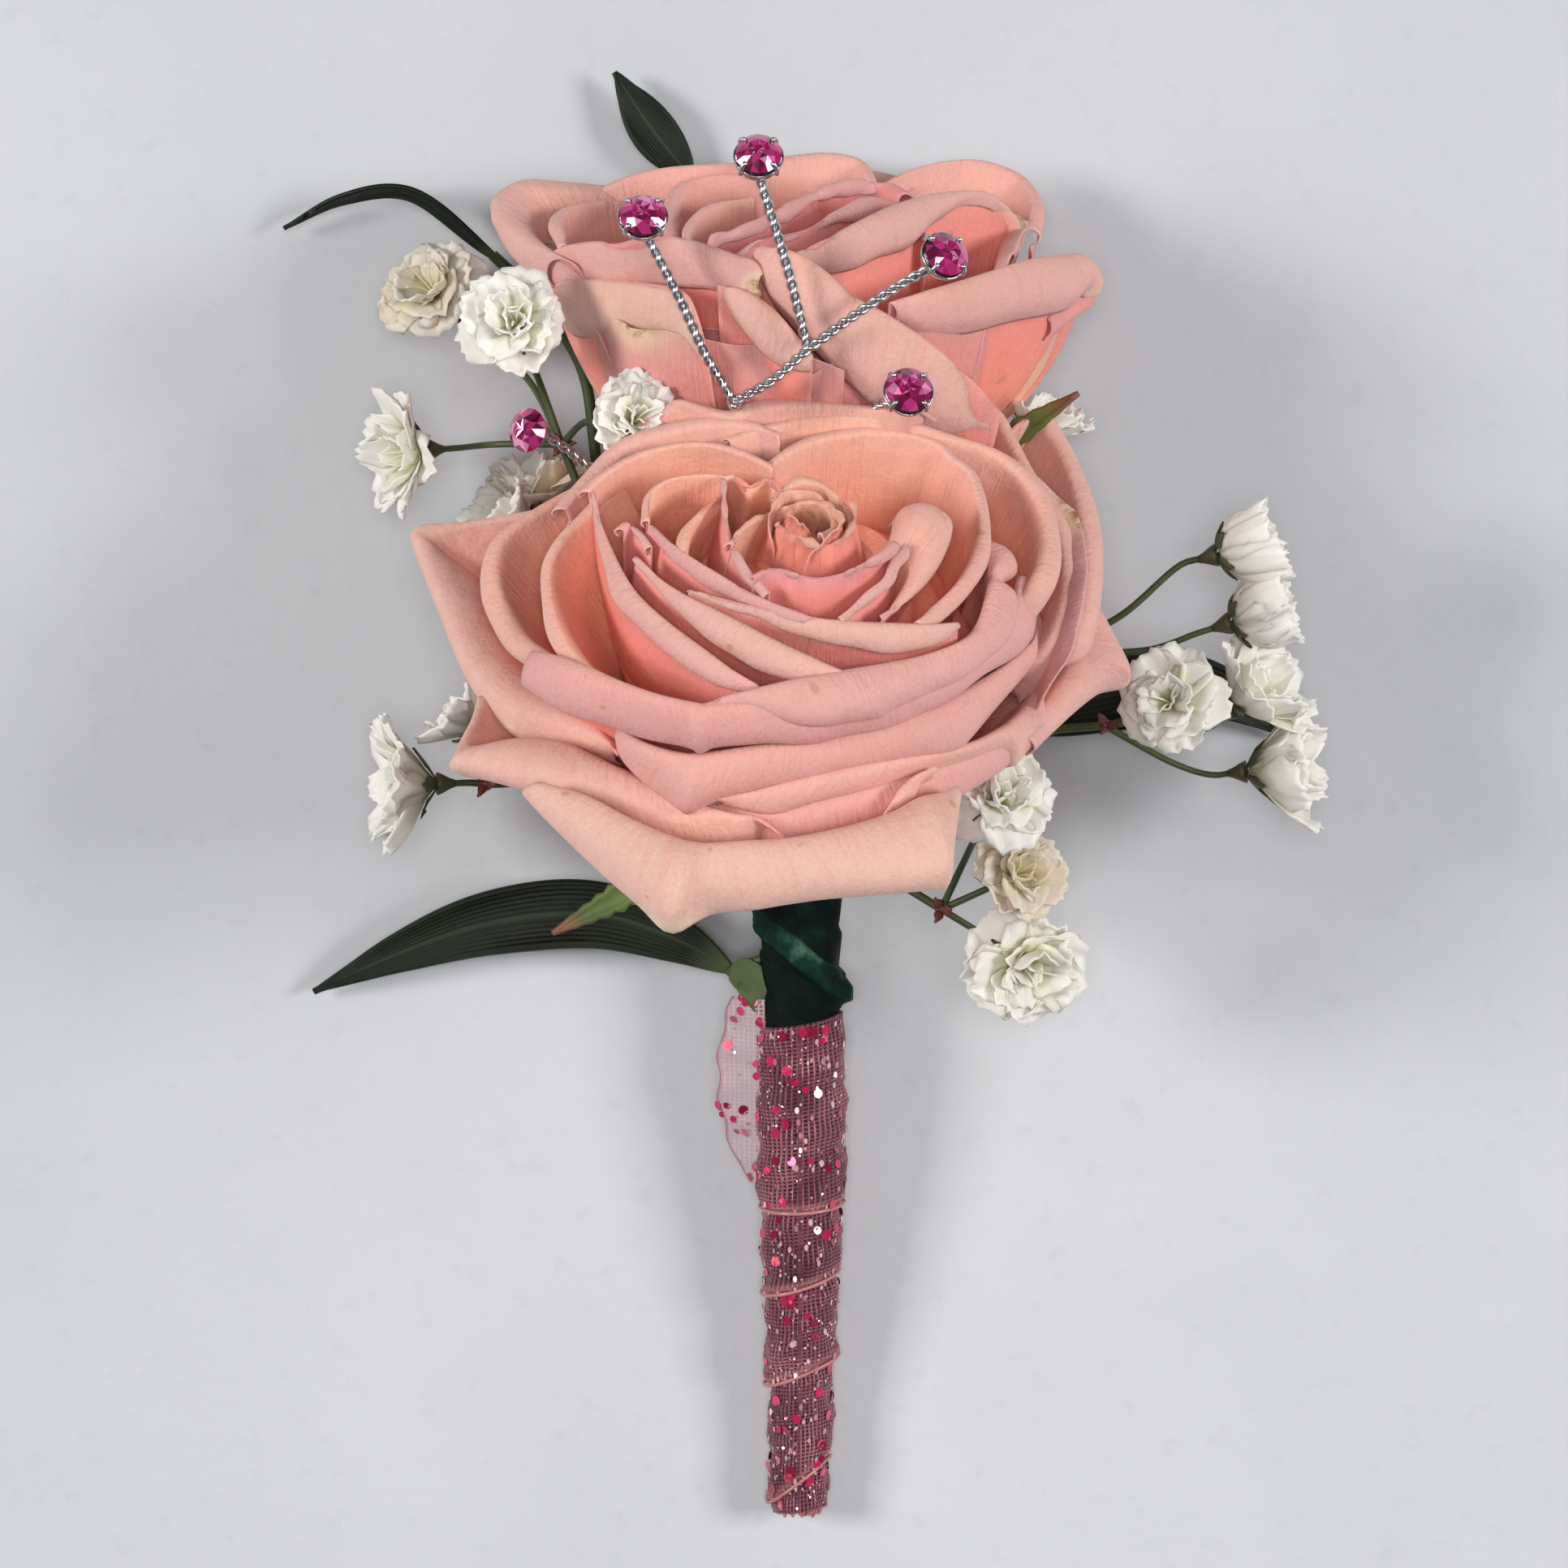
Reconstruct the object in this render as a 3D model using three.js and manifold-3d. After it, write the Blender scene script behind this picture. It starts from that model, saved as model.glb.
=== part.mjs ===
// Boutonniere: two spray roses, baby's breath, four ruscus leaves and a jewel pick, bound with
// floral tape and wrapped in glitter ribbon. It lies on a flat surface at z = 0 and is looked
// down on from +z, with its wrapped stems towards -y. Sizes are in millimetres.
import * as THREE from 'three';
import { mergeVertices } from 'three/addons/utils/BufferGeometryUtils.js';
import Module from 'manifold-3d';

const wasm = await Module();
wasm.setup();

// Middle of the whole bouquet in the working frame; it becomes x = 0, y = 0.
const MIDDLE = [0.78, -0.6, 0];

// Gap that neighbouring pieces keep.
const GAP = 0.3;

// Sheets: petals, leaves and sepals.
const PETAL_THICK = 0.65;
const LEAF_THICK = 0.7;
const SEPAL_WIDTH = 3.2;

// Where each rose's base lies, how far its axis leans from upright towards +y, and its turn.
const FRONT = { base: [0.5, 1.2, 17.5], tilt: 41, turn: 4 };
const REAR = { base: [1.0, 22.0, 8.6], tilt: 68, turn: 0 };

// Handle: the line through its middle, the stems in it and the thickness of what is wound on it.
const HANDLE = [[1.2, -7.5, 8.0], [1.4, -20, 6.9], [1.5, -38, 4.3], [1.4, -53, 2.35], [1.3, -63, 2.25]];
const TAPE_TOP_RADIUS = 4.0;
const TAPE_END_RADIUS = 1.5;
const TAPE_SLANT = 0.5;
const RIBBON_START = 12.5;
const RIBBON_SLANT = 0.16;
const STEM_RADIUS = 0.95;
const STEM_SPREAD = 1.3;
const SPRIG_RADIUS = 0.45;
const BRANCH_RADIUS = 0.4;
const RUSCUS_RADIUS = 0.5;
const SLOT_RADIUS = 2.8;
const SLOT_DEPTH = 4;

// Jewel pick: stones in cups on twisted wires.
const STONE_RADIUS = 1.7;
const CUP_DEPTH = 2.3;
const WIRE_RADIUS = 0.35;
const PICK_RADIUS = 0.6;

const rad = THREE.MathUtils.degToRad;
const vec = (p) => new THREE.Vector3(...p);
const curve = (points) => new THREE.CatmullRomCurve3(points.map(vec), false, 'centripetal');
const handle = curve(HANDLE);
const handleLength = handle.getLength();

// Closed mesh to solid and back.
function solid(geometry) {
  const bare = geometry.clone();
  bare.deleteAttribute('normal');
  bare.deleteAttribute('uv');
  const merged = mergeVertices(bare, 1e-4);
  return new wasm.Manifold(new wasm.Mesh({
    numProp: 3,
    vertProperties: new Float32Array(merged.attributes.position.array),
    triVerts: new Uint32Array(merged.index.array),
  }));
}

function geometryOf(body) {
  const mesh = body.getMesh();
  const geometry = new THREE.BufferGeometry();
  geometry.setAttribute('position', new THREE.BufferAttribute(mesh.vertProperties, 3));
  geometry.setIndex(new THREE.BufferAttribute(mesh.triVerts, 1));
  geometry.computeVertexNormals();
  return geometry;
}

const join = (bodies) => bodies.reduce((whole, body) => whole.add(body));
const fuse = (geometries) => join(geometries.map(solid));

// The largest body of a solid: loose scraps are dropped and sealed hollows filled.
const mainBody = (body) => body.decompose().reduce((a, b) => (a.volume() > b.volume() ? a : b));

// Turns a geometry's +z to an axis and moves it to a point.
function placed(geometry, at, axis) {
  const turn = new THREE.Quaternion().setFromUnitVectors(vec([0, 0, 1]), axis.clone().normalize());
  return geometry.applyQuaternion(turn).translate(at.x, at.y, at.z);
}

// Lathe whose profile of [radius, height] runs from the bottom up, along +z.
function lathe(profile, sides) {
  const points = profile.map(([r, h]) => new THREE.Vector2(r, h));
  return new THREE.LatheGeometry(points, sides).rotateX(Math.PI / 2);
}

// Tube with flat ends along a list of points.
function tube(points, radius, sides, steps) {
  const centre = new THREE.Vector2();
  const corner = (_, i) => new THREE.Vector2(radius, 0).rotateAround(centre, (i / sides) * 2 * Math.PI);
  const section = new THREE.Shape(Array.from({ length: sides }, corner));
  return new THREE.ExtrudeGeometry(section, { steps, extrudePath: curve(points), bevelEnabled: false });
}

// A stem and the room that it takes in what it passes through, which is a gap wider and longer.
const ROOM = GAP + 0.03;

function stalk(points, radius, sides, steps) {
  const wide = radius + ROOM / Math.cos(Math.PI / sides);
  const room = tube(points, wide, sides, steps);
  const corners = room.attributes.position;
  for (const [end, next] of [points.slice(0, 2), points.slice(-2).reverse()].map((pair) => pair.map(vec))) {
    const outward = end.clone().sub(next).setLength(ROOM);
    for (let i = 0; i < corners.count; i++) {
      const corner = new THREE.Vector3().fromBufferAttribute(corners, i);
      if (corner.distanceTo(end) < wide * 1.01) corners.setXYZ(i, ...corner.add(outward).toArray());
    }
  }
  return { body: solid(tube(points, radius, sides, steps)), room: solid(room) };
}

// Sheet of even thickness over a grid of points, split into the same triangles on both faces.
function sheet(grid, thickness) {
  const cols = grid.length;
  const rows = grid[0].length;
  const clamp = (i, count) => Math.min(Math.max(i, 0), count - 1);
  const positions = [];
  for (const side of [0.5, -0.5]) {
    for (let i = 0; i < cols; i++) {
      for (let j = 0; j < rows; j++) {
        const across = grid[clamp(i + 1, cols)][j].clone().sub(grid[clamp(i - 1, cols)][j]);
        const along = grid[i][clamp(j + 1, rows)].clone().sub(grid[i][clamp(j - 1, rows)]);
        const normal = across.cross(along).normalize();
        positions.push(...grid[i][j].clone().addScaledVector(normal, side * thickness).toArray());
      }
    }
  }
  const top = (i, j) => i * rows + j;
  const under = (i, j) => cols * rows + top(i, j);
  const index = [];
  const quad = (a, b, c, d) => index.push(a, b, c, a, c, d);
  for (let i = 0; i < cols - 1; i++) {
    for (let j = 0; j < rows - 1; j++) {
      quad(top(i, j), top(i + 1, j), top(i + 1, j + 1), top(i, j + 1));
      index.push(under(i, j), under(i + 1, j + 1), under(i + 1, j));
      index.push(under(i, j), under(i, j + 1), under(i + 1, j + 1));
    }
    quad(under(i, 0), under(i + 1, 0), top(i + 1, 0), top(i, 0));
    quad(top(i, rows - 1), top(i + 1, rows - 1), under(i + 1, rows - 1), under(i, rows - 1));
  }
  for (let j = 0; j < rows - 1; j++) {
    quad(top(0, j), top(0, j + 1), under(0, j + 1), under(0, j));
    quad(under(cols - 1, j), under(cols - 1, j + 1), top(cols - 1, j + 1), top(cols - 1, j));
  }
  return meshOf(positions, index);
}

function meshOf(positions, index) {
  const geometry = new THREE.BufferGeometry();
  geometry.setAttribute('position', new THREE.Float32BufferAttribute(positions, 3));
  geometry.setIndex(index);
  return geometry;
}

// Frame of a rose: azimuth 0 is towards -y and up, azimuth 90 towards +x, and the height is its axis.
function roseFrame({ base, tilt, turn }) {
  const [t, y] = [rad(tilt), rad(turn)];
  const axis = vec([Math.sin(t) * Math.sin(y), Math.sin(t) * Math.cos(y), Math.cos(t)]);
  const right = vec([Math.cos(y), -Math.sin(y), 0]);
  return new THREE.Matrix4().makeBasis(right.clone().cross(axis), right, axis).setPosition(...base);
}

// Value across a petal, given as one number or at its left side, its peak and its right side.
function across(values, u, peak, power) {
  if (typeof values === 'number') return values;
  const [left, middle, right] = values;
  const share = u < peak ? (peak - u) / (peak + 1) : (u - peak) / (1 - peak);
  return middle + ((u < peak ? left : right) - middle) * share ** power;
}

// Distance from a rose's axis to the straight line between a petal's peak and its side.
function straightCrest([left, middle, right], u, peak, half) {
  const side = u < peak ? left : right;
  const whole = half * (u < peak ? peak + 1 : 1 - peak);
  const part = half * Math.abs(u - peak);
  return (middle * side * Math.sin(whole)) / (side * Math.sin(whole - part) + middle * Math.sin(part));
}

// A petal rises as a cup to a crest at radius r and height h, where it leans out by "lean". There it
// rolls over to the angle "roll" round the radius "bend", for the length "lip". It stands at the
// azimuth "at" and is twice "half" wide. Lists hold its left side, its peak and its right side.
const PETAL = {
  half: 50, lean: 5, roll: 60, bend: 1.6, lip: 4, peak: 0, power: 2, point: 2, drop: 3,
  straight: 0.5, rise: 70, belly: 1,
};
const PETAL_FOOT = [1.8, 0.8];
const FOOT_SPREAD = 0.28;

// The part of the cup below the share "root" is left out, because it lies inside the bud.
function petal(spec, { root, cupRows, lipRows }) {
  const p = { ...PETAL, ...spec };
  const half = rad(p.half);
  const radii = typeof p.r === 'number' ? [p.r, p.r, p.r] : p.r;
  const column = (i) => {
    const u = i < 0 ? p.peak + i * (p.peak + 1) : p.peak + i * (1 - p.peak);
    const round = across(p.r, u, p.peak, p.power);
    const r = round + (straightCrest(radii, u, p.peak, half) - round) * p.straight;
    const h = across(p.h, u, p.peak, p.power) - p.drop * Math.abs(u) ** 5;
    const lean = rad(across(p.lean, u, p.peak, 1));
    const roll = rad(across(p.roll, u, p.peak, 1));
    const lip = across(p.lip, u, p.peak, p.point) * (1 - 0.85 * u ** 8);
    const reach = 0.42 * Math.hypot(r - PETAL_FOOT[0], h - PETAL_FOOT[1]);
    const foot = new THREE.Vector2(...PETAL_FOOT);
    const crest = new THREE.Vector2(r, h);
    const rise = new THREE.Vector2(Math.sin(rad(p.rise)), Math.cos(rad(p.rise))).multiplyScalar(reach * p.belly);
    const fall = new THREE.Vector2(Math.sin(lean), Math.cos(lean)).multiplyScalar(-reach);
    const cup = new THREE.CubicBezierCurve(foot, foot.clone().add(rise), crest.clone().add(fall), crest);
    const share = (j) => root + ((1 - root) * j) / cupRows;
    const profile = Array.from({ length: cupRows + 1 }, (_, j) => cup.getPoint(share(j)));
    const turned = p.bend * Math.abs(roll - lean);
    const step = lip / lipRows;
    for (let k = 0; k < lipRows; k++) {
      const angle = lean + (roll - lean) * Math.min(((k + 0.5) * step) / turned, 1);
      const last = profile[profile.length - 1];
      profile.push(new THREE.Vector2(last.x + Math.sin(angle) * step, last.y + Math.cos(angle) * step));
    }
    return profile.map((q, j) => {
      const spread = FOOT_SPREAD + (1 - FOOT_SPREAD) * THREE.MathUtils.smoothstep(share(j), 0, 0.75);
      const azimuth = rad(p.at) + half * u * spread;
      return new THREE.Vector3(q.x * Math.cos(azimuth), q.x * Math.sin(azimuth), q.y);
    });
  };
  return sheet([-1, -0.5, 0, 0.5, 1].map(column), PETAL_THICK);
}

// Front rose. Its outer petals are rolled back to points, its middle ones form the open cup and
// its inner ones the bud.
const FRONT_OUTER = [
  { at: -106, half: 46, r: [23, 30, 24], h: [17, 12, 15], lean: 50, roll: [120, 95, 160], bend: 1.8,
    lip: [3, 5, 5], point: 1.5, power: 1.2, straight: 1 },
  { at: -50, half: 46, r: [25, 27, 19], h: [13, 13, 16], lean: 45, roll: [120, 110, 160], bend: 1.8,
    lip: [3, 5.5, 5], peak: -0.35, point: 1.5, power: 1.2, straight: 1 },
  { at: -10, half: 46, r: [25, 22.5, 21], h: [16, 17, 16], lean: 35, roll: [120, 120, 125], bend: 2,
    lip: [5, 8.5, 7.5], peak: -0.15, point: 1, straight: 0.9, drop: 1 },
  { at: 42, half: 50, r: [18.5, 18, 21], h: [17, 17, 13], lean: 20, roll: [130, 120, 130], bend: 2,
    lip: [3, 6, 4], peak: 0.45, point: 1.2, straight: 0.9 },
  { at: 92, half: 42, r: [18, 22, 22], h: [15, 12, 14], lean: 45, roll: [120, 100, 120], bend: 2,
    lip: [3, 6, 4], peak: 0.1, point: 1.2, straight: 0.9 },
  { at: 120, half: 44, r: [20, 23, 22], h: [18, 19.5, 21], lean: 15, roll: 95, bend: 2.5, lip: [3, 4, 3] },
  { at: 170, half: 50, r: [18, 13, 14], h: [23, 26.5, 26], roll: 80, bend: 2.5, lip: 3 },
  { at: -142, half: 50, r: [14, 15, 20], h: [25, 24.5, 20], roll: 80, bend: 2.5, lip: 3 },
];
const FRONT_MIDDLE = [
  { at: 14, half: 74, r: [20.5, 17.5, 18], h: [20, 20, 18], lean: 12, roll: [120, 135, 120], bend: 1.8,
    lip: [3, 6, 4], peak: -0.5, point: 1, straight: 0.6 },
  { at: 12, half: 84, r: [22, 16, 15], h: [23, 24.5, 23], roll: [110, 135, 110], lip: [3, 6, 3], peak: -0.45,
    point: 1 },
  { at: -92, half: 40, r: [21, 22.5, 20], h: [20, 21, 18], lean: 10, roll: 50, lip: 2.5 },
  { at: -98, half: 40, r: [18, 20, 18], h: [22, 23.5, 20], roll: 40, lip: 2.5 },
  { at: 118, half: 80, r: [13, 12, 10.5], h: [24, 27, 28], lean: 0, bend: 1.5, lip: 2.5, straight: 0.2 },
  { at: -165, half: 62, r: [11.5, 11.5, 15], h: [27, 28, 25.5], roll: 80, bend: 1.5, lip: 3 },
];
const FRONT_INNER = [
  { at: -48, half: 60, r: [17, 15, 11.5], h: [26, 26, 24.5], lean: 0, bend: 1, lip: 2, straight: 0.8 },
  { at: -28, half: 62, r: [14.5, 12.5, 10.5], h: [26.5, 26.5, 25], lean: -5, bend: 1, lip: 2, straight: 0.8 },
  { at: 10, half: 64, r: [12, 10.5, 10], h: [27, 27, 25.5], lean: -5, bend: 1, lip: 2, straight: 0.7 },
  { at: -55, half: 66, r: [12, 9.5, 6], h: [28, 27.5, 26.5], lean: -8, roll: 50, bend: 1, lip: 1.6 },
  { at: 165, half: 75, r: [8, 8, 9], h: [28, 29, 28], lean: -5, roll: 40, bend: 1, lip: 1.4, straight: 0.2 },
  { at: 50, half: 70, r: [8, 6.5, 6], h: [27, 27.5, 27.5], lean: -8, roll: 40, bend: 1, lip: 1.2 },
  { at: -20, half: 75, r: [6, 5.3, 4.5], h: [28, 28.5, 28], lean: -10, roll: 30, bend: 1, lip: 1.2 },
  { at: -140, half: 80, r: [5, 4, 3.5], h: [29, 30, 29], lean: -10, roll: 30, bend: 1, lip: 1.2 },
  { at: 80, half: 80, r: [3.5, 3, 2.5], h: [29.5, 30.3, 29.5], lean: -12, roll: 20, bend: 1, lip: 1 },
];

// Rear rose. It lies on its side, and its two lowest outer petals rest on the surface.
const REAR_OUTER = [
  { at: -50, half: 42, r: [22, 19.5, 14], h: [22, 22, 20], lean: 15, roll: [150, 150, 130], bend: 1.8,
    lip: [4, 5.5, 4], straight: 0.6 },
  { at: -45, half: 44, r: [19.5, 17.5, 16], h: [25, 25.5, 26], lean: 8, roll: [120, 130, 130],
    lip: [3, 4.5, 4], straight: 0.6 },
  { at: 12, half: 42, r: [17, 19.5, 22], h: [27, 23, 16], lean: 15, roll: [130, 150, 150], lip: [3, 5, 4],
    straight: 0.6, drop: 0 },
  { at: 52, half: 44, r: [17.5, 20, 22], h: [25, 24, 21], lean: 12, roll: [120, 130, 110], bend: 1.8,
    lip: [3, 4, 6], peak: 0.4, point: 1, straight: 0.9 },
  { at: 100, half: 42, r: [18, 18.5, 17], h: [24, 26, 26], lean: 10, roll: 90, bend: 2, lip: [2, 4, 2],
    point: 1, straight: 0.8 },
  { at: -100, half: 44, r: [18, 22, 19], h: [24, 25, 24], lean: 20, roll: [110, 100, 120], bend: 2,
    lip: [3, 5, 3], point: 1, straight: 0.9 },
  { at: -136, half: 30, r: [15, 16, 15], h: [20, 20, 21], lean: 30, roll: 100, bend: 2, lip: [3, 6, 2],
    rise: 50, belly: 0.8 },
  { at: 136, half: 30, r: [15, 16, 15], h: [21, 20, 20], lean: 30, roll: 100, bend: 2, lip: [2, 6, 3],
    rise: 50, belly: 0.8 },
];
const REAR_INNER = [
  { at: 178, half: 62, r: [14, 13, 14], h: [24.5, 26, 24.5], bend: 2, lip: 2.5, rise: 30, belly: 0.6 },
  { at: -20, half: 60, r: 14, h: [26, 27, 26], lean: 0, bend: 1.2, lip: 2, straight: 0.6 },
  { at: 80, half: 60, r: [13, 14, 14], h: [26, 27, 26], lean: 0, bend: 1.2, lip: 2, straight: 0.6 },
  { at: -90, half: 60, r: [12, 13, 13], h: [26, 27, 26], lean: 0, roll: 50, bend: 1.2, lip: 2, straight: 0.6 },
  { at: 30, half: 66, r: 9.5, h: [27, 28, 27], lean: -6, roll: 40, bend: 1, lip: 1.8, straight: 0.6 },
  { at: 160, half: 70, r: 9, h: [26, 27, 26], lean: -6, roll: 40, bend: 1, lip: 1.8, rise: 50, belly: 0.8 },
  { at: -90, half: 75, r: 6, h: [27.5, 28.5, 28], lean: -8, roll: 40, bend: 1, lip: 1.2 },
  { at: 20, half: 80, r: 4, h: [28, 29, 28], lean: -8, roll: 30, bend: 1, lip: 1.2 },
];

// Middle of a bud, in which the petals root: [radius, height] from the base up.
const FRONT_BUD = [[0, 0.3], [3.2, 0.3], [9, 3], [12, 8], [12, 15], [9.5, 21], [5, 25.5], [0, 27.5]];
const REAR_BUD = [[0, 0.3], [3.2, 0.3], [7.5, 3.5], [8.5, 9], [9, 15], [8, 21], [5, 25], [0, 27]];

function bloom(frame, bud, { outer, middle = [], inner }) {
  const petals = [
    lathe(bud, 10),
    ...outer.map((spec) => petal(spec, { root: 0.45, cupRows: 1, lipRows: 3 })),
    ...middle.map((spec) => petal(spec, { root: 0.6, cupRows: 1, lipRows: 2 })),
    ...inner.map((spec) => petal(spec, { root: 0.7, cupRows: 1, lipRows: 1 })),
  ];
  return fuse(petals).transform(roseFrame(frame).elements);
}

// The space that the rear rose fills, against which the front rose's back petals are pressed flat.
const REAR_ROOM = [[0, -1], [9.5, 2], [14, 6], [17, 10], [19.2, 14.5], [22, 19], [25, 21], [25, 32], [0, 32]];
const rearRoom = () => solid(lathe(REAR_ROOM, 20)).transform(roseFrame(REAR).elements);

// Lance-shaped blade along a line of points, "width" wide and folded up along its rib.
function blade(points, width, rows = 8, fold = 0.25) {
  const rib = curve(points);
  const grid = [[], [], []];
  for (let j = 0; j <= rows; j++) {
    const t = j / rows;
    const forward = rib.getTangentAt(t);
    const side = forward.clone().cross(vec([0, 0, 1])).normalize();
    const lift = side.clone().cross(forward).normalize();
    const half = Math.max(0.4, (width / 2) * Math.sin(Math.PI * t ** 0.8) ** 0.8);
    [-1, 0, 1].forEach((u, i) => {
      const point = rib.getPointAt(t).addScaledVector(side, half * u);
      grid[i].push(point.addScaledVector(lift, fold * half * u * u));
    });
  }
  return sheet(grid, LEAF_THICK);
}

// Point beside the handle's middle line at a distance from its top: "right" across and "high" up.
function inHandle(distance, right, high) {
  const t = distance / handleLength;
  const forward = handle.getTangentAt(t);
  const side = forward.clone().cross(vec([0, 0, 1])).normalize().negate();
  const lift = forward.clone().cross(side).normalize();
  return handle.getPointAt(t).addScaledVector(side, right).addScaledVector(lift, high).toArray();
}

// The first points of a thin stem, from inside the tape out of its top, at an angle clockwise from up.
function slot(angle) {
  const right = SLOT_RADIUS * Math.sin(rad(angle));
  const high = SLOT_RADIUS * Math.cos(rad(angle));
  return [inHandle(SLOT_DEPTH, right, high), inHandle(0, right, high)];
}

// Calyx and sepals of a rose. A sepal is an azimuth and its [radius, height] points from the calyx out.
const HIP = [[0, -5], [STEM_RADIUS, -5], [2.2, -3.4], [2.9, -1.2], [2.9, 0], [0, 0]];
const FRONT_SEPALS = [
  [-66, [[2.2, -0.7], [7, -3], [13, -9.6], [20.7, -13.3]]],
  [-42, [[2.2, -0.7], [6, -4], [9, -8], [11.5, -11]]],
  [20, [[2.2, -0.7], [5, -2.2], [9, -5.5]]],
  [95, [[2.2, -0.7], [6, -1.6], [11, -3.5]]],
  [165, [[2.2, -0.7], [5, -1.6], [8, -3.2]]],
];
const REAR_SEPALS = [
  [76, [[2.2, -0.8], [9, 0.6], [18.6, 9.3], [24, 13.4]]],
  [-95, [[2.2, -0.7], [6, 0], [10, 2.3]]],
  [-20, [[2.2, -0.7], [4.5, -1.5], [7.5, -2.5]]],
  [130, [[2.2, -0.7], [4.5, -1], [7, -1.2]]],
  [-150, [[2.2, -0.7], [4.5, -1], [7, -1.2]]],
];
const FRONT_STEM_END = handleLength - 6;
const REAR_STEM_END = 14;
const FRONT_STEM = [
  [0.4, -4.2, 11.4], inHandle(0, 0, STEM_SPREAD), inHandle(13, 0, STEM_SPREAD),
  inHandle(20, 0, 0.7), inHandle(30, 0, 0), inHandle(FRONT_STEM_END, 0, 0),
];
const REAR_STEM = [
  [1.2, 10, 5.9], [1.5, 0, 5.4], inHandle(0, 0, -STEM_SPREAD), inHandle(REAR_STEM_END, 0, -STEM_SPREAD),
];

function roseGreen(frame, sepals, line) {
  const matrix = roseFrame(frame);
  const along = (height) => vec([0, 0, height]).applyMatrix4(matrix).toArray();
  const blades = sepals.map(([azimuth, profile]) => {
    const point = ([r, h]) => [r * Math.cos(rad(azimuth)), r * Math.sin(rad(azimuth)), h];
    return blade(profile.map(point), SEPAL_WIDTH, 4);
  });
  const stem = stalk([along(-4), along(-7), ...line], STEM_RADIUS, 6, 10);
  const top = fuse([lathe(HIP, 10), ...blades]).transform(matrix.elements);
  return { body: top.add(stem.body), room: stem.room };
}

// Baby's breath. A head has its middle, the way it faces, its radius, and the points that its stem
// comes through. The sprays are named by where they show round the roses.
const SPRAYS = {
  upper_left: {
    trunk: [...slot(291), [-6, 2, 9.5],[-12, 14, 10.5], [-16, 22, 13], [-18.6, 28.4, 14]],
    heads: [
      { at: [-24, 37.7, 28.4], axis: [-0.1, 0.25, 1], r: 4.8, from: [[-18.6, 28.4, 14], [-20.2, 33, 15]] },
      { at: [-29.8, 41.9, 8], axis: [-0.6, 0.5, 0.6], r: 4.3, from: [[-18.6, 28.4, 14], [-21.5, 34, 10]] },
      { at: [-33.3, 27.6, 12], axis: [-1, 0, 0.35], r: 4.2, from: [[-18.6, 28.4, 14], [-24, 28.5, 12.5]] },
      { at: [-12.6, 31.5, 28.8], axis: [0.1, 0.1, 1], r: 3.4, from: [[-18.6, 28.4, 14], [-16, 29.8, 20.5]] },
      { at: [-25.3, 23, 8.5], axis: [-1, 0, 0.2], r: 3.8, from: [[-12, 14, 10.5], [-18, 20.5, 9]] },
      { at: [-20.5, 26.5, 6.6], axis: [-0.5, 1, -0.1], r: 3.2, from: [[-12, 14, 10.5], [-16.5, 19.5, 7.5]] },
    ],
  },
  lower_left: {
    trunk: [...slot(264),[-8, -4, 8], [-18, 0, 10.5], [-25, 0, 13]],
    heads: [
      { at: [-32.6, -0.3, 14.5], axis: [-1, -0.05, 0.2], r: 4.3, from: [[-25, 0, 13]] },
      { at: [-27.2, 6.4, 13.5], axis: [-0.8, 0.7, 0.1], r: 2.4, from: [[-18, 0, 10.5], [-22, 2.6, 12]] },
    ],
  },
  upper_right: {
    trunk: [...slot(105), [9, -2, 7], [16, 7, 10], [22, 11, 13.5]],
    heads: [
      { at: [22.2, 31.2, 10.5], axis: [0.3, 0.8, 0.3], r: 3.4, from: [[16, 7, 10], [18, 15, 9.5], [20.5, 23, 10]] },
      { at: [39.3, 19.8, 19], axis: [1, 0.2, 0.2], r: 3, from: [[22, 11, 13.5], [28, 14, 16.5]] },
      { at: [40.5, 14.4, 17.5], axis: [1, -0.1, 0.2], r: 2.9, from: [[22, 11, 13.5], [30.5, 11.2, 15.5]] },
    ],
  },
  lower_right: {
    trunk: [...slot(75), [10, -3.5, 9.5], [17, 1.8, 9.5], [22.3, 4.4, 10], [27, 4.9, 11.5]],
    heads: [
      { at: [31.7, 6.8, 20.5], axis: [-0.2, 0.1, 1], r: 4.8, from: [[27, 4.9, 11.5]] },
      { at: [40, 8.4, 15], axis: [1, 0.3, 0.3], r: 3.4, from: [[27, 4.9, 11.5], [31, 5.4, 12]] },
      { at: [42.4, 1.2, 14.2], axis: [1, 0.1, 0.3], r: 3.8, from: [[27, 4.9, 11.5], [33, 1.6, 12.5]] },
    ],
  },
  lowest: {
    trunk: [...slot(40), [4.6, -6, 11.2], [8, -7.4, 12.2], [13.2, -10.5, 12.8]],
    heads: [
      { at: [18.1, -1.2, 25.3], axis: [0.3, 0.5, 1], r: 4.1, from: [[13.2, -10.5, 12.8], [15.2, -6, 15.5]] },
      { at: [19.4, -7.3, 19.2], axis: [0.5, 0.3, 1], r: 3.6, from: [[13.2, -10.5, 12.8]] },
      { at: [20.2, -15.2, 16.8], axis: [0.35, -0.3, 1], r: 4.7, from: [[13.2, -10.5, 12.8]] },
    ],
  },
};

// Floret as one ruffled body. Its rings are [radius at a petal's tip, radius in the notch beside it,
// height at the tip, height in the notch], as shares of its size. The inner petals stand in the
// outer ones' notches.
const FLORET_LOBES = 5;
const FLORET_OUTER = [[0.28, 0.28, 0.14, 0.14], [1, 0.6, 0.34, 0.22], [0.96, 0.52, 0.52, 0.38]];
const FLORET_INNER = [
  [0.44, 0.4, 0.5, 0.5], [0.72, 0.4, 0.84, 0.62], [0.6, 0.32, 0.98, 0.72], [0.18, 0.18, 0.66, 0.66],
];
const FLORET_RUFFLE = 0.06;

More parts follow.
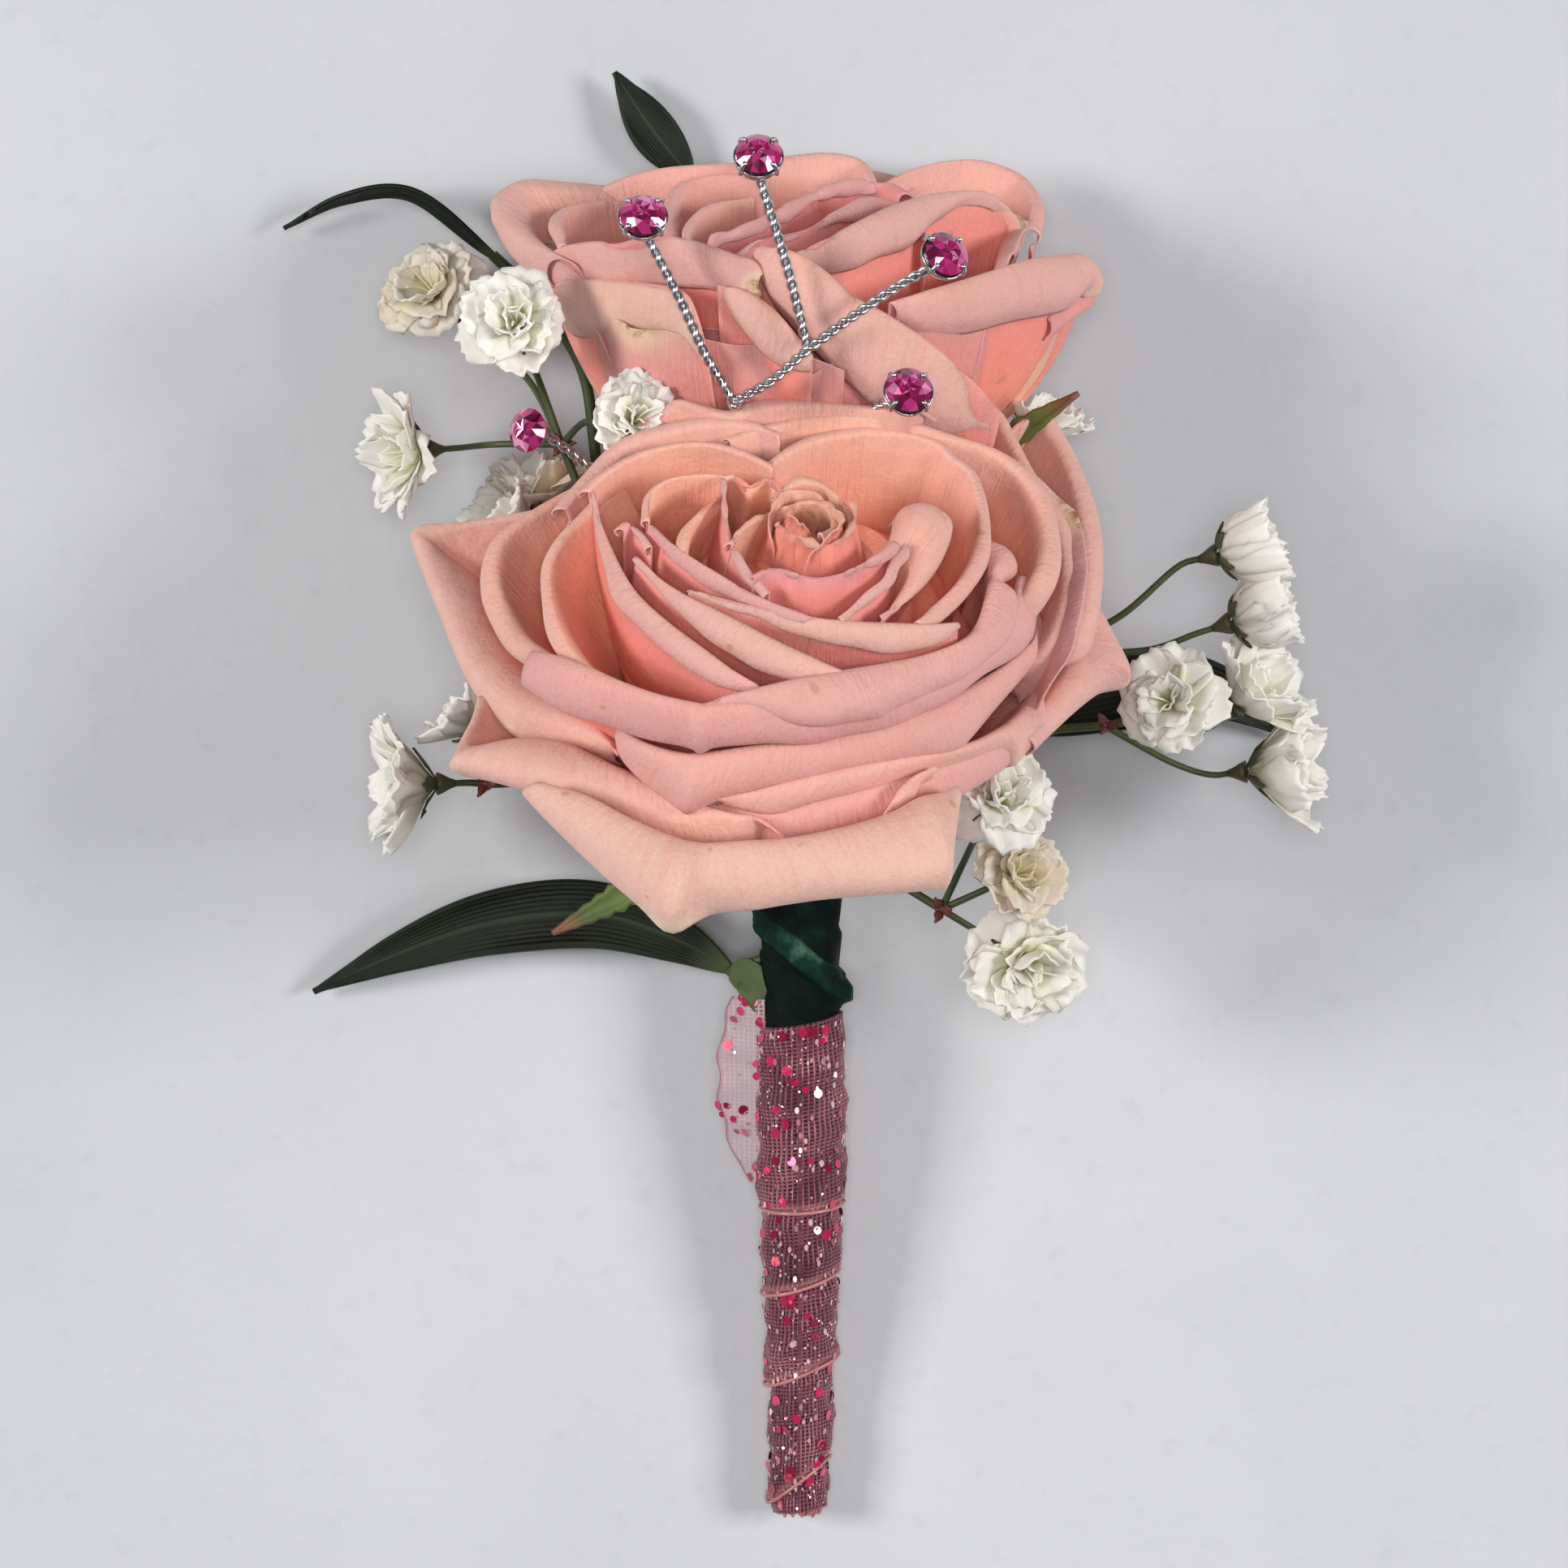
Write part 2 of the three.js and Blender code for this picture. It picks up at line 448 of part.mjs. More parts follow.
function floret(size, turn) {
  const count = 2 * FLORET_LOBES;
  const rings = [...FLORET_OUTER, ...FLORET_INNER].map(([tip, notch, tipHigh, notchHigh], k) => {
    const shift = k < FLORET_OUTER.length ? 0 : 1;
    return Array.from({ length: count }, (_, i) => {
      const isTip = (i + shift) % 2 === 0;
      const ruffle = isTip && k > 0 ? FLORET_RUFFLE * Math.sin(turn + 2.4 * i + k) : 0;
      const angle = turn + (i / count) * 2 * Math.PI;
      const r = size * (isTip ? tip : notch);
      return [r * Math.cos(angle), r * Math.sin(angle), size * ((isTip ? tipHigh : notchHigh) + ruffle)];
    });
  });
  const positions = [0, 0, size * 0.1, ...rings.flat(2), 0, 0, size * 0.6];
  const at = (k, i) => 1 + k * count + (i % count);
  const last = 1 + rings.length * count;
  const index = [];
  for (let i = 0; i < count; i++) {
    index.push(0, at(0, i + 1), at(0, i));
    for (let k = 0; k < rings.length - 1; k++) {
      index.push(at(k, i), at(k, i + 1), at(k + 1, i + 1), at(k, i), at(k + 1, i + 1), at(k + 1, i));
    }
    index.push(last, at(rings.length - 1, i), at(rings.length - 1, i + 1));
  }
  return meshOf(positions, index);
}

// A point on a head's axis, "down" below the head's base.
const HEAD_BASE = 0.45;
const underHead = ({ at, axis, r }, down) => vec(at).addScaledVector(vec(axis).normalize(), -r * HEAD_BASE - down);

// Green part of a spray: trunk, branches and the small cup below each head.
const GYP_CUP = [[0, -2.2], [0.45, -2.2], [1.15, 0], [0, 0]];

function sprayGreen({ trunk, heads }) {
  const stem = stalk(trunk, SPRIG_RADIUS, 5, 7);
  const branches = heads.map((head) => {
    const line = [...head.from, underHead(head, GAP + 3.2).toArray(), underHead(head, GAP + 1.8).toArray()];
    return tube(line, BRANCH_RADIUS, 4, 2 + head.from.length);
  });
  const cups = heads.map((head) => placed(lathe(GYP_CUP, 4),underHead(head, GAP), vec(head.axis)));
  return { body: stem.body.add(fuse([...branches, ...cups])), room: stem.room };
}

// Ruscus leaves: the stem from the tape, and the leaf's midrib and width.
const RUSCUS = {
  top: {
    stem: [...slot(208),[-0.6, 0, 2.9], [-1.2, 12, 1.6], [-1.5, 40, 1.2], [-5, 49, 1.4], [-8.5, 52.6, 1.8]],
    rib: [[-8, 52.2, 1.7], [-11.5, 56.5, 2.2], [-14.6, 61.2, 2.2]],
    width: 4.4,
  },
  left: {
    stem: [
      ...slot(236),[-3.8, 0, 3.6], [-9, 12, 2], [-15.5, 25, 2], [-17.5, 36, 2.2], [-22, 42.5, 2.8],
      [-25, 45.4, 3.2],
    ],
    rib: [[-24.5, 45, 3.1], [-32, 50.6, 4.6], [-38, 50.2, 3.6], [-43, 47.8, 2.2]],
    width: 4.4,
  },
  right: {
    stem: [...slot(138), [8, -4, 3.4], [15, 2, 2.2], [20, 5.5, 2.2]],
    rib: [[19, 5, 2.2], [28.5, 7.8, 3.2], [36.5, 8.1, 3], [43.3, 4.3, 1.4]],
    width: 6.4,
  },
  lower: {
    stem: [inHandle(8.5, -1.6, 0.2), inHandle(7.4, -2.8, 0.1), [-3.9, -15.8, 6.4], [-4.6, -16, 5.5]],
    rib: [
      [-4.2, -16.1, 5.6], [-9, -13.4, 4.4], [-16, -11.2, 4.2], [-25, -11.9, 3.6], [-33, -14.5, 2.8],
      [-40.5, -17.9, 1.6],
    ],
    width: 5.8,
  },
};

function ruscusLeaf({ stem, rib, width }) {
  const stalked = stalk(stem, RUSCUS_RADIUS, 5, 9);
  return { body: stalked.body.add(solid(blade(rib, width))), room: stalked.room };
}

// Jewel pick. The stones lie above the roses, and their wires meet and run down between the roses.
const STONES = [
  { at: [-11.1, 44.7, 37.5], axis: [0, 0.45, 1] },
  { at: [-2, 49.5, 37.5], axis: [0.05, 0.5, 1] },
  { at: [12.7, 41.6, 38], axis: [0.45, 0.35, 1] },
  { at: [9.8, 30.9, 37.8], axis: [0.1, 0.3, 1] },
  { at: [-20.6, 29.2, 21.5], axis: [-0.9, 0.1, 0.65] },
];
const STONE = [[0, -1.35], [STONE_RADIUS, 0], [STONE_RADIUS, 0.25], [1.05, 0.95], [0, 0.95]];
const CUP = [[0, -CUP_DEPTH], [1, -2.1], [2.05, -0.4], [1.7, -0.4], [0.3, -1.82], [0, -1.82]];
const underStone = ({ at, axis }) => vec(at).addScaledVector(vec(axis).normalize(), 0.2 - CUP_DEPTH).toArray();
const MEET = [1.9, 34.4, 35.5];
const LOW_MEET = [-4, 30.4, 33.5];
const BETWEEN = [-3, 23.2, 19.6];
const BEHIND = [-3, 17, 13.6];
const PICK = [LOW_MEET, [-3.6, 28, 27], BETWEEN, BEHIND, [-3.6, 6, 11], [-3, -3, 10.3], ...slot(320).reverse()];
const WIRES = [
  [underStone(STONES[0]), [-8.3, 38.5, 35.2], [-6.2, 34, 34.6], LOW_MEET],
  [underStone(STONES[1]), [0.2, 41, 36.4], MEET],
  [underStone(STONES[2]), [8.5, 39, 36.4], MEET, [-1, 32, 34.6], LOW_MEET],
  [underStone(STONES[3]), [7, 28.8, 32.5], [2, 26, 25], BETWEEN],
  [underStone(STONES[4]), [-16.5, 26.5, 19], [-10, 20, 15.5], BEHIND],
];

function jewelWires() {
  const cups = STONES.map(({ at, axis }) => placed(lathe(CUP, 8), vec(at), vec(axis)));
  const pick = stalk(PICK, PICK_RADIUS, 5, 10);
  const wires = WIRES.map((points) => stalk(points, WIRE_RADIUS, 4, 5));
  return {
    body: join([pick.body, ...wires.map((wire) => wire.body), fuse(cups)]),
    room: pick.room,
    wireRoom: join(wires.map((wire) => wire.room)).add(pick.room),
  };
}

// Lathe profile of [radius, distance down the handle], slanted across and bent along the handle.
function wound(profile, sides, slant) {
  const geometry = new THREE.LatheGeometry(profile.map((point) => new THREE.Vector2(...point)), sides);
  const position = geometry.attributes.position;
  for (let i = 0; i < position.count; i++) {
    const x = position.getX(i);
    const distance = THREE.MathUtils.clamp(position.getY(i) + slant * x, 0, handleLength);
    position.setXYZ(i, ...inHandle(distance, -x, position.getZ(i)));
  }
  return solid(geometry);
}

// Rounds of tape that flare towards the roses, and rounds of ribbon, each a little proud of the next.
const TAPE_END = handleLength - 3.4;
const TAPE = [
  [0, 0], [TAPE_TOP_RADIUS, 0], [3.95, 4.6], [3.6, 5], [3.7, 9.2], [3.3, 9.6], [2.9, 16], [2.5, 24],
  [2.0, 38], [TAPE_END_RADIUS, TAPE_END], [0, TAPE_END],
];
const RIBBON = [
  [0, RIBBON_START], [3.8, RIBBON_START], [3.85, 22], [3.5, 22.6], [3.5, 29], [3.1, 29.6], [3.1, 36.5],
  [2.75, 37.1], [2.7, 45], [2.4, 45.6], [2.4, 55.2], [0, 55.2],
];
const RIBBON_TAIL = [[-1.6, -19.8, 8.6], [-3.4, -24, 7.2], [-4.2, -30, 5.4], [-3.3, -35.5, 4.4]];

function ribbonSleeve() {
  const under = TAPE.slice(5, -2).map(([r, y]) => [r + ROOM, y]);
  const end = TAPE_END + ROOM;
  const hollow = [[0, TAPE[5][1]], ...under, [TAPE_END_RADIUS + ROOM, end], [0, end]];
  const tail = solid(blade(RIBBON_TAIL, 3.6, 5, 0));
  return wound(RIBBON, 12, RIBBON_SLANT).add(tail).subtract(wound(hollow, 12, TAPE_SLANT));
}

// Everything below the surface that the bouquet lies on.
const below = () => solid(new THREE.BoxGeometry(200, 200, 20).translate(0, 0, -10));

const look = (color, roughness, metalness = 0) => new THREE.MeshStandardMaterial({ color, roughness, metalness });
const LOOKS = {
  petals: look(0xe8b0a0, 0.6),
  green: look(0x5a6b3a, 0.6),
  leaf: look(0x1e2a18, 0.45),
  tape: look(0x0f3b30, 0.5),
  ribbon: look(0xa8687a, 0.45),
  floret: look(0xf0eee4, 0.7),
  wire: look(0xc8c8cc, 0.3, 1),
  stone: look(0xb0226e, 0.1),
};

const boutonniere = new THREE.Group();
boutonniere.name = 'boutonniere';
boutonniere.position.set(...MIDDLE).negate();

function add(name, body, material) {
  const mesh = new THREE.Mesh(geometryOf(mainBody(body)), material);
  mesh.name = name;
  boutonniere.add(mesh);
}

const frontGreen = roseGreen(FRONT, FRONT_SEPALS, FRONT_STEM);
const rearGreen = roseGreen(REAR, REAR_SEPALS, REAR_STEM);
const sprays = Object.entries(SPRAYS).map(([name, spray]) => ({ name, ...spray, ...sprayGreen(spray) }));
const leaves = Object.entries(RUSCUS).map(([name, leaf]) => ({ name, ...ruscusLeaf(leaf) }));
const jewels = jewelWires();
const frontBloom = bloom(FRONT, FRONT_BUD, { outer: FRONT_OUTER, middle: FRONT_MIDDLE, inner: FRONT_INNER });
const rearBloom = bloom(REAR, REAR_BUD, { outer: REAR_OUTER, inner: REAR_INNER });
const stems = [frontGreen, rearGreen, ...sprays, ...leaves, jewels];
const thinStems = join([...sprays, ...leaves].map((stem) => stem.room)).add(jewels.wireRoom);

add('rose_front_bloom', frontBloom.subtract(rearRoom()).subtract(thinStems), LOOKS.petals);
add('rose_rear_bloom', rearBloom.subtract(thinStems).subtract(below()), LOOKS.petals);
add('rose_front_calyx_stem', frontGreen.body, LOOKS.green);
add('rose_rear_calyx_stem', rearGreen.body, LOOKS.green);
for (const { name, body, heads } of sprays) {
  add(`gyp_${name}_stems`, body, LOOKS.green);
  heads.forEach((head, k) => {
    const flower = placed(floret(head.r, k), underHead(head, 0), vec(head.axis));
    add(`gyp_${name}_flower_${k + 1}`, solid(flower), LOOKS.floret);
  });
}
for (const { name, body } of leaves) add(`ruscus_leaf_${name}`, body, LOOKS.leaf);
add('jewel_wires', jewels.body, LOOKS.wire);
STONES.forEach(({ at, axis }, k) => {
  add(`jewel_stone_${k + 1}`, solid(placed(lathe(STONE, 8), vec(at), vec(axis))), LOOKS.stone);
});
add('floral_tape', wound(TAPE, 12, TAPE_SLANT).subtract(join(stems.map((stem) => stem.room))), LOOKS.tape);
add('glitter_ribbon', ribbonSleeve().subtract(below()), LOOKS.ribbon);

export default boutonniere;
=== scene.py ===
"""Looks of the boutonniere: fine petals, flowers, leaves, wires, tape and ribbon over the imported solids.

Points are worked out in millimetres in the model's working frame, with the handle towards -y and the
surface at z = 0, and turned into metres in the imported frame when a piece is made.
"""
import math

import bpy
import numpy as np
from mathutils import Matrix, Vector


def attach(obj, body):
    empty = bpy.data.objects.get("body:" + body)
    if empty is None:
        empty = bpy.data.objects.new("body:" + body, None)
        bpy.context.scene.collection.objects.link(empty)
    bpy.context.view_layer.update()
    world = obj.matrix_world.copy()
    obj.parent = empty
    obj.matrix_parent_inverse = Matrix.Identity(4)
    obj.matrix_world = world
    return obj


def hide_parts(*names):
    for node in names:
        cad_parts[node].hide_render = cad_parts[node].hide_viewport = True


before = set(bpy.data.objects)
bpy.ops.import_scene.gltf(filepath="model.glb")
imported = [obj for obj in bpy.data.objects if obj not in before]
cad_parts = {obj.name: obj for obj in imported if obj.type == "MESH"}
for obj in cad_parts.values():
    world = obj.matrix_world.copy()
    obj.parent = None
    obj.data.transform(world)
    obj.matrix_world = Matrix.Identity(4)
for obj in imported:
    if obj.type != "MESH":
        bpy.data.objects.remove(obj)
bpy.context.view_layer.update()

# Millimetres of the working frame: its middle, and metres in one of them
MIDDLE = np.array([0.78, -0.6, 0.0])
METRES = 0.001

# Where each rose's base lies, how far its axis leans towards +y, and its turn
FRONT = {"base": (0.5, 1.2, 17.5), "tilt": 41, "turn": 4}
REAR = {"base": (1.0, 22.0, 8.6), "tilt": 68, "turn": 0}

# The handle's middle line, and how tape and ribbon lie on it
HANDLE = [(1.2, -7.5, 8.0), (1.4, -20, 6.9), (1.5, -38, 4.3), (1.4, -53, 2.35), (1.3, -63, 2.25)]
TAPE_SHOWN = 15.5
RIBBON_START = 12.5
RIBBON_END = 55.2
RIBBON_SLANT = 0.16

# The rose stems' radius, how far each lies from the handle's middle at its top, and the circle and the
# depth to which the thin stems go into the tape
STEM_RADIUS = 0.95
STEM_SPREAD = 1.3
SLOT_RADIUS = 2.8
SLOT_DEPTH = 4

# Nothing of a piece lies below this height above the surface
LOWEST = 0.02

# The photograph: picture side and focal length in pixels, and the camera's height
PICTURE = 1932
FOCAL = 5985
SENSOR = 36
CAMERA_HEIGHT = 420


def smooth(x):
    """Soft step from 0 to 1."""
    x = np.clip(x, 0, 1)
    return x * x * (3 - 2 * x)


def unit(v):
    return v / np.maximum(np.linalg.norm(v, axis=-1, keepdims=True), 1e-9)


def circle(sides):
    return np.linspace(0, 2 * np.pi, sides, endpoint=False)


def rgb(code):
    """Linear colour and full alpha of an sRGB code such as "#E8B0A0"."""
    values = [int(code[i:i + 2], 16) / 255 for i in (1, 3, 5)]
    return [v / 12.92 if v <= 0.04045 else ((v + 0.055) / 1.055) ** 2.4 for v in values] + [1]


# Curves, tubes, sheets and lathes

def spaced(points, count):
    """Evenly spaced points on a centripetal Catmull-Rom curve through the points."""
    p = np.array(points, float)
    if len(p) == 2:
        return p[0] + np.linspace(0, 1, count)[:, None] * (p[1] - p[0])
    p = np.vstack([2 * p[0] - p[1], p, 2 * p[-1] - p[-2]])
    fine = []
    for a, b, c, d in zip(p, p[1:], p[2:], p[3:]):
        gaps = [max(np.linalg.norm(y - x), 1e-6) ** 0.5 for x, y in ((a, b), (b, c), (c, d))]
        knots = np.cumsum([0] + gaps)
        t = np.linspace(knots[1], knots[2], 40, endpoint=False)[:, None]
        ab = a + (b - a) * (t - knots[0]) / (knots[1] - knots[0])
        bc = b + (c - b) * (t - knots[1]) / (knots[2] - knots[1])
        cd = c + (d - c) * (t - knots[2]) / (knots[3] - knots[2])
        abc = ab + (bc - ab) * (t - knots[0]) / (knots[2] - knots[0])
        bcd = bc + (cd - bc) * (t - knots[1]) / (knots[3] - knots[1])
        fine.append(abc + (bcd - abc) * (t - knots[1]) / (knots[2] - knots[1]))
    fine = np.vstack(fine + [p[-2:-1]])
    length = travelled(fine)
    wanted = np.linspace(0, length[-1], count)
    return np.stack([np.interp(wanted, length, values) for values in fine.T], -1)


def travelled(line):
    """Length along a line from its start to each of its points."""
    return np.concatenate([[0], np.cumsum(np.linalg.norm(np.diff(line, axis=0), axis=1))])


def frames(line):
    """Tangent and two turning-free normals at each point of a line."""
    tangent = unit(np.gradient(line, axis=0))
    normals = [unit(np.cross(tangent[0], [0.3, 0.2, 1]))]
    for t in tangent[1:]:
        normals.append(unit(normals[-1] - t * (normals[-1] @ t)))
    normals = np.array(normals)
    return tangent, normals, np.cross(tangent, normals)


class Pile:
    """Points, faces and point layers of all the forms that make one piece."""

    def __init__(self, *layers):
        self.points, self.faces, self.count = [], [], 0
        self.layers = {name: [] for name in layers}

    def add(self, points, faces, **layers):
        points = np.asarray(points, float).reshape(-1, 3)
        self.points.append(points)
        self.faces += [[i + self.count for i in face] for face in faces]
        self.count += len(points)
        for name, kept in self.layers.items():
            kept.append(np.broadcast_to(np.ravel(layers.get(name, 0.0)), len(points)))

    def sheet(self, grid, thickness, **layers):
        """Closed thin sheet on a grid of points. The layer "face" is 1 on the side of across x along."""
        cols, rows = grid.shape[:2]
        total = cols * rows
        offset = grid_normals(grid) * (np.broadcast_to(thickness, (cols, rows))[..., None] / 2)
        index = np.arange(total).reshape(cols, rows)
        corners = index[:-1, :-1], index[1:, :-1], index[1:, 1:], index[:-1, 1:]
        top = np.stack(corners, -1).reshape(-1, 4)
        border = np.concatenate([index[:, 0], index[-1, 1:], index[-2::-1, -1], index[0, -2:0:-1]])
        after = np.roll(border, -1)
        side = np.stack([after, border, border + total, after + total], -1)
        faces = np.concatenate([top, top[:, ::-1] + total, side]).tolist()
        twice = {k: np.tile(np.broadcast_to(v, (cols, rows)).ravel(), 2) for k, v in layers.items()}
        twice["face"] = np.repeat([1.0, 0.0], total)
        self.add(np.concatenate([grid + offset, grid - offset]), faces, **twice)

    def rings(self, rings, **layers):
        """Closed skin over rings of points, with a fan at both ends."""
        count, sides = rings.shape[:2]
        index = np.arange(count * sides).reshape(count, sides)
        turned = np.roll(index, -1, axis=1)
        skin = np.stack([index[:-1], turned[:-1], turned[1:], index[1:]], -1).reshape(-1, 4).tolist()
        ends = [count * sides, count * sides + 1]
        skin += [[ends[0], b, a] for a, b in zip(index[0], turned[0])]
        skin += [[ends[1], a, b] for a, b in zip(index[-1], turned[-1])]
        points = np.concatenate([rings.reshape(-1, 3), [rings[0].mean(0), rings[-1].mean(0)]])
        full = {}
        for name, value in layers.items():
            value = np.broadcast_to(np.asarray(value, float), (count, sides))
            full[name] = np.concatenate([value.ravel(), [value[0].mean(), value[-1].mean()]])
        self.add(points, skin, **full)

    def tube(self, line, radius, sides=8, **layers):
        """Round tube along a line, with one radius or one at each point."""
        _, across, up = frames(line)
        angle = circle(sides)[None, :, None]
        radius = np.broadcast_to(radius, len(line))[:, None, None]
        ring = np.cos(angle) * across[:, None] + np.sin(angle) * up[:, None]
        self.rings(line[:, None] + ring * radius, **layers)

    def lathe(self, profile, sides, at, axis, lobes=0, depth=0, **layers):
        """Turned form of (radius, height), its height along an axis, with lobes of a relative depth."""
        profile = np.array(profile, float)
        angle = circle(sides)
        radius = profile[:, :1] * (1 + depth * np.cos(lobes * angle))
        height = np.broadcast_to(profile[:, 1:], radius.shape)
        local = np.stack([radius * np.cos(angle), radius * np.sin(angle), height], -1)
        self.rings(local @ basis(axis).T + np.array(at, float), **layers)

    def piece(self, name, material, node, flat=False):
        """Makes the Blender object, which rides on the model and stands for its node."""
        mesh = bpy.data.meshes.new(name)
        points = (np.concatenate(self.points) - MIDDLE) * METRES
        mesh.from_pydata(points.tolist(), [], self.faces)
        for layer, values in self.layers.items():
            mesh.attributes.new(layer, "FLOAT", "POINT").data.foreach_set("value", np.concatenate(values))
        if not flat:
            mesh.shade_smooth()
        mesh.materials.append(material)
        made = bpy.data.objects.new(name, mesh)
        bpy.context.scene.collection.objects.link(made)
        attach(made, "root")
        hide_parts(node)


def basis(axis):
    """Matrix whose columns are two normals and the axis."""
    z = unit(np.array(axis, float))
    x = unit(np.cross([0.0, 1.0, 0.0] if abs(z[1]) < 0.9 else [1.0, 0.0, 0.0], z))
    return np.stack([x, np.cross(z, x), z], -1)


def grid_normals(grid):
    return unit(np.cross(np.gradient(grid, axis=0), np.gradient(grid, axis=1)))


# Materials

class Shader:
    """A material's nodes, written from its colour down."""

    def __init__(self, name, **settings):
        self.material = bpy.data.materials.new(name)
        self.material.use_nodes = True
        self.tree = self.material.node_tree
        self.surface = self.tree.nodes["Principled BSDF"]
        for socket, value in settings.items():
            self.surface.inputs[socket.replace("_", " ")].default_value = value

    def node(self, kind, inputs=(), **settings):
        made = self.tree.nodes.new("ShaderNode" + kind)
        for name, value in settings.items():
            setattr(made, name, value)
        for socket, value in dict(inputs).items():
            if isinstance(value, bpy.types.NodeSocket):
                self.tree.links.new(value, made.inputs[socket])
            elif value is not None:
                made.inputs[socket].default_value = value
        return made

    def layer(self, name):
        return self.node("Attribute", attribute_name=name).outputs["Fac"]

    def math(self, operation, a, b=0.0):
        return self.node("Math", {0: a, 1: b}, operation=operation).outputs[0]

    def times(self, a, b):
        return self.math("MULTIPLY", a, b)

    def plus(self, a, b):
        return self.math("ADD", a, b)

    def between(self, value, low, high, to_low=0.0, to_high=1.0):
        """Soft step from one value to another while the given one goes from low to high."""
        inputs = {"Value": value, "From Min": low, "From Max": high, "To Min": to_low, "To Max": to_high}
        return self.node("MapRange", inputs, interpolation_type="SMOOTHSTEP").outputs["Result"]

    def ramp(self, value, *stops):
        made = self.node("ValToRGB", {"Fac": value})
        elements = made.color_ramp.elements
        while len(elements) < len(stops):
            elements.new(0.5)
        for element, (place, code) in zip(elements, stops):
            element.position = place
            element.color = rgb(code)
        return made.outputs["Color"]

    def mix(self, factor, a, b, blend="MIX"):
        a, b = (rgb(c) if isinstance(c, str) else c for c in (a, b))
        inputs = {0: factor, 6: a, 7: b}
        return self.node("Mix", inputs, data_type="RGBA", blend_type=blend).outputs[2]

    def place(self, *values):
        return self.node("CombineXYZ", dict(enumerate(values))).outputs[0]

    def here(self):
        """The point's place in metres."""
        return self.node("TexCoord").outputs["Object"]

    def noise(self, vector, scale, detail=3.0, roughness=0.55):
        inputs = {"Vector": vector, "Scale": scale, "Detail": detail, "Roughness": roughness}
        return self.node("TexNoise", inputs).outputs["Fac"]

    def colour(self, socket):
        self.tree.links.new(socket, self.surface.inputs["Base Color"])

    def roughness(self, socket):
        self.tree.links.new(socket, self.surface.inputs["Roughness"])

    def bump(self, height, strength, distance):
        """Raised relief. Distance is in millimetres."""
        inputs = {"Height": height, "Strength": strength, "Distance": distance * METRES}
        made = self.node("Bump", inputs)
        self.tree.links.new(made.outputs[0], self.surface.inputs["Normal"])


def petal_material():
    s = Shader("rose_petal", Subsurface_Weight=0.22, Subsurface_Scale=0.0006, Specular_IOR_Level=0.24,
               Sheen_Weight=0.1, Sheen_Roughness=0.45)
    s.surface.inputs["Subsurface Radius"].default_value = (1.0, 0.8, 0.7)
    s.surface.inputs["Sheen Tint"].default_value = rgb("#FFECE4")
    along, tone, tip = s.layer("along"), s.layer("tone"), s.layer("tip")
    across, edge, face = s.layer("across"), s.layer("edge"), s.layer("face")
    pinkness = s.math("SUBTRACT", 1.0, tone)
    patches = s.noise(s.here(), 95, 3)
    shade = s.plus(along, s.times(s.math("SUBTRACT", patches, 0.5), 0.24))
    # Inner faces run from the foot's deep orange to the pale rim; the bright foot colours are partly the
    # petal's own colour and partly a painted glow of light through the petals.
    inside = s.ramp(shade, (0.0, "#FF8C58"), (0.3, "#FFB088"), (0.52, "#F7B89E"), (0.72, "#E6AE9F"),
                    (1.0, "#DAAEA5"))
    outside = s.ramp(shade, (0.0, "#FFB094"), (0.45, "#FF9A88"), (0.8, "#EA8B88"), (1.0, "#E0A09C"))
    both = s.mix(face, inside, outside)
    shown = s.between(along, 0.5, 0.85)
    pinker = s.mix(s.times(s.times(pinkness, 0.5), shown), both, "#DC9C9E")
    paler = s.mix(s.times(s.times(tone, 0.5), shown), pinker, "#E4C3B2")
    streaks = s.noise(s.place(s.times(across, 62), s.times(along, 3), tone), 1, 4)
    veined = s.mix(s.between(streaks, 0.48, 0.72, 0.0, 0.2), paler, "#DC8C84")
    grain = s.noise(s.here(), 3000, 2)
    grained = s.mix(s.between(grain, 0.35, 0.7, 0.0, 0.16), veined, "#CF8478")
    mauve = s.times(s.between(edge, 0.2, 2.2, 0.42, 0.0), pinkness)
    rimmed = s.mix(mauve, grained, "#DA9AA0")
    # Painted highlight: within 0.4 mm of a petal's edge its colour is mixed a little towards pale cream,
    # standing in for light caught on the rim.
    light = s.mix(s.between(edge, 0.05, 0.4, 0.14, 0.0), rimmed, "#F2D6CB")
    cream = s.mix(s.between(tip, 0.05, 0.9, 0.0, 0.7), light, "#EAD3B2")
    rough = s.noise(s.here(), 900, 3)
    brown = s.times(s.between(tip, 0.55, 1.0), s.between(edge, 0.0, 1.3, 1.0, 0.0))
    tanned = s.mix(s.times(brown, s.between(rough, 0.38, 0.6)), cream, "#A5714C")
    specks = s.between(s.noise(s.here(), 420, 1), 0.755, 0.79, 0.0, 0.55)
    s.colour(s.mix(specks, tanned, "#B98A5E"))
    s.roughness(s.between(rough, 0.3, 0.7, 0.5, 0.66))
    fine = s.noise(s.place(s.times(across, 90), s.times(along, 9), tone), 1, 5)
    swells = s.times(s.noise(s.here(), 260, 2), 2.4)
    s.bump(s.plus(swells, s.plus(s.times(fine, 1.1), s.times(grain, 0.5))), 0.7, 0.2)
    return s.material


